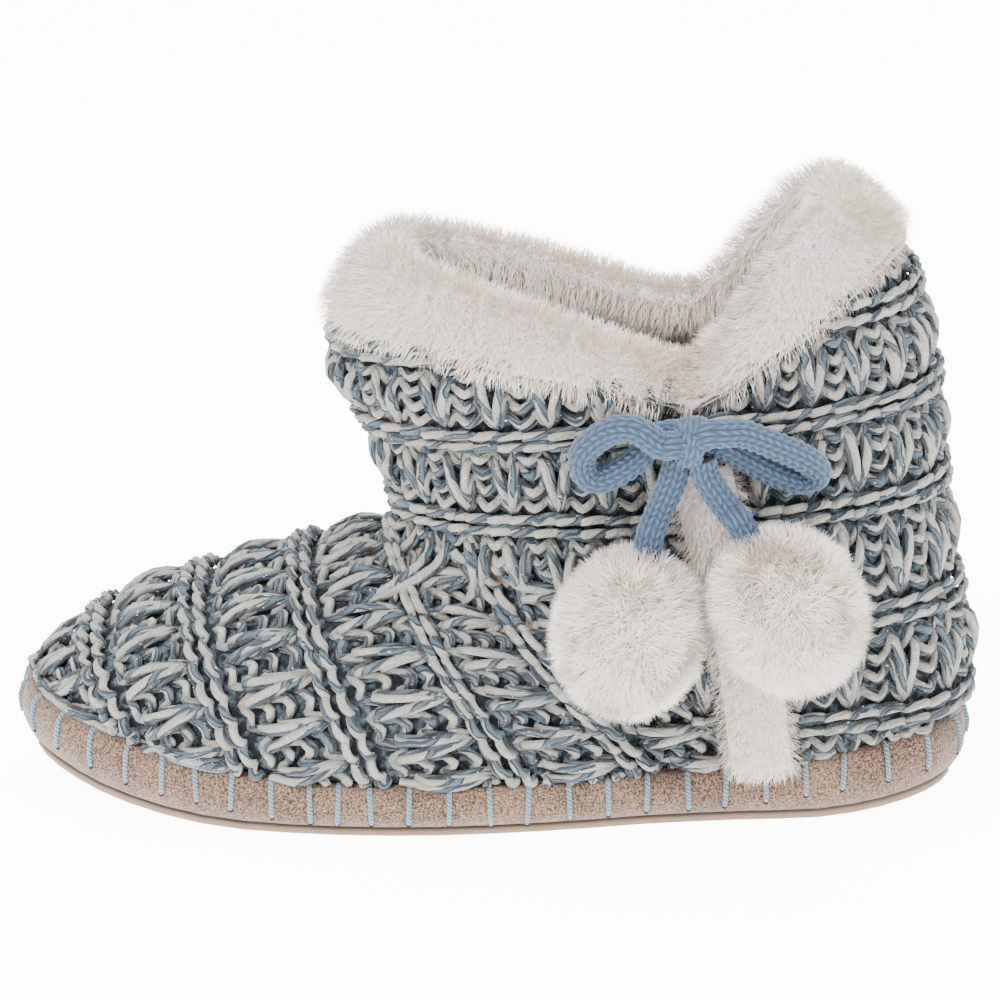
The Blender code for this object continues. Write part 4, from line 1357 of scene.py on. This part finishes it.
def crease_cuff(skin):
    levels = skin.modifiers.new("finer", "SUBSURF")
    levels.levels = levels.render_levels = 1
    levels.subdivision_type = "SIMPLE"
    skin = plain_mesh(skin, "cuff_skin")
    for vertex in skin.data.vertices:
        if vertex.co.y > CREASE_SIDE:
            continue
        offset = vertex.co.x + CREASE_LEAN * vertex.co.z - CREASE_FOOT
        rise = vertex.co.z - CREASE_BOTTOM
        near = math.exp(-((offset / CREASE_WIDTH) ** 2)) * min(max(rise / 0.005, 0.0), 1.0)
        dip = math.exp(-((offset / DIP_WIDTH) ** 2)) * min(max(rise / 0.012, 0.0), 1.0)
        vertex.co.z -= DIP_DEPTH * dip
        vertex.co -= vertex.normal * CREASE_DEPTH * near
    skin.data.update()
    return skin


cuff_cream = shade_crease(fur_material("faux_fur_cuff", FUR_CREAM, FUR_ROOT))
cuff_skin = crease_cuff(fur_skin("fur_cuff", 0.0014, 2))
cuff_pile = Pile(density=3.15e6, length=0.0058, combing=(-0.2, -0.1, -0.75), ruffle=0.24, seed=3)
grow_fur(cuff_skin, "cuff_fur", cuff_cream, cuff_pile, "fur_cuff")
strip_skin = fur_skin("side_strip", 0.0006, 1)
strip_pile = Pile(density=2.6e6, length=0.0044, combing=(-0.15, 0.0, -1.0), ruffle=0.36, seed=5)
grow_fur(strip_skin, "strip_fur", cream_fur, strip_pile, "side_strip")
POMPOM_WIDTH = 0.0415
POMPOM_LENGTH = 0.0470
POMPOM_PILE = 0.0052


def grow_pompom(side, ball, lean, seed):
    """A ball of fur, a little longer along its cord than it is wide."""
    shape = bmesh.new()
    bmesh.ops.create_icosphere(shape, subdivisions=3, radius=1.0)
    size = Vector((POMPOM_WIDTH / 2, POMPOM_WIDTH / 2, POMPOM_LENGTH / 2))
    turn = lean.to_track_quat("Z", "Y")
    for vertex in shape.verts:
        place = Vector([c * (r - POMPOM_PILE) for c, r in zip(vertex.co, size)])
        vertex.co = knot_centre + ball + turn @ place
    mesh = bpy.data.meshes.new(f"pompom_{side}_skin")
    shape.to_mesh(mesh)
    shape.free()
    mesh.shade_smooth()
    skin = add_object(mesh.name, mesh)
    pile = Pile(density=5.9e6, length=0.0064, combing=(0.0, 0.0, -0.2), ruffle=0.24, seed=seed)
    grow_fur(skin, f"pompom_fur_{side}", cream_fur, pile, f"pompom_{side}")


grow_pompom("left", POMPOM_LEFT, POMPOM_LEFT_LEAN, 7)
grow_pompom("right", POMPOM_RIGHT, POMPOM_RIGHT_LEAN, 8)


def line_shaft():
    """Lining pile on the wall's inner side, from the collar down past the instep."""
    piece = merged_copy("upper", "lining_skin")
    shape = bmesh.new()
    shape.from_mesh(piece.data)
    shape.normal_update()
    outer = []
    for face in shape.faces:
        middle = face.calc_center_median()
        centre = Vector((SHAFT_AXIS_X, 0.0, middle.z))
        if middle.z < 0.045 or face.normal.dot(middle - centre) > 0 or middle.x < -0.045:
            outer.append(face)
    bmesh.ops.delete(shape, geom=outer, context="FACES")
    for vertex in shape.verts:
        vertex.co += vertex.normal * 0.0010
    shape.to_mesh(piece.data)
    shape.free()
    pile = Pile(density=0.70e6, length=0.0052, combing=(0.0, 0.0, -0.6), ruffle=0.5, seed=11)
    grow_fur(piece, "lining_fur", tan_fur, pile)


line_shaft()
bpy.data.objects.remove(blade, do_unlink=True)


# Floor and light
# A white sweep under soft studio light: a large lamp from the upper left and front, a
# weaker one from the right, and an even white surround.
SURROUND_GLOW = 1.45
FLOOR_GLOW = 2.5
SEEN_GLOW = 8.0


def light_stage():
    mesh = bpy.data.meshes.new("floor")
    reach = 6.0
    corners = [(x * reach, y * reach, 0.0) for x, y in ((-1, -1), (1, -1), (1, 1), (-1, 1))]
    mesh.from_pydata(corners, [], [(0, 1, 2, 3)])
    floor = add_object("floor", mesh)
    white, floor_tree, shader = new_material("floor_white", (0.95, 0.95, 0.95), 0.9)
    shader.inputs["Emission Color"].default_value = (1.0, 1.0, 1.0, 1.0)
    seen = new_node(floor_tree, "ShaderNodeLightPath").outputs["Is Camera Ray"]
    glow = calculate(floor_tree, "MULTIPLY_ADD", seen, SEEN_GLOW, FLOOR_GLOW)
    floor_tree.links.new(glow, shader.inputs["Emission Strength"])
    mesh.materials.append(white)
    world = bpy.data.worlds.new("studio")
    world.use_nodes = True
    surround = world.node_tree.nodes["Background"]
    surround.inputs["Color"].default_value = (1.0, 1.0, 1.0, 1.0)
    surround.inputs["Strength"].default_value = SURROUND_GLOW
    bpy.context.scene.world = world
    for name, place, power, size in (
        ("key_light", (-0.7, -1.1, 1.5), 46.0, 0.7),
        ("fill_light", (1.3, -0.8, 0.8), 13.0, 0.8),
        ("top_light", (0.1, 0.5, 1.6), 25.0, 0.9),
    ):
        lamp = bpy.data.lights.new(name, "AREA")
        lamp.energy = power
        lamp.size = size
        light = add_object(name, lamp)
        light.location = place
        light.rotation_euler = (Vector(place) - CAMERA_TARGET).to_track_quat("Z", "Y").to_euler()


light_stage()
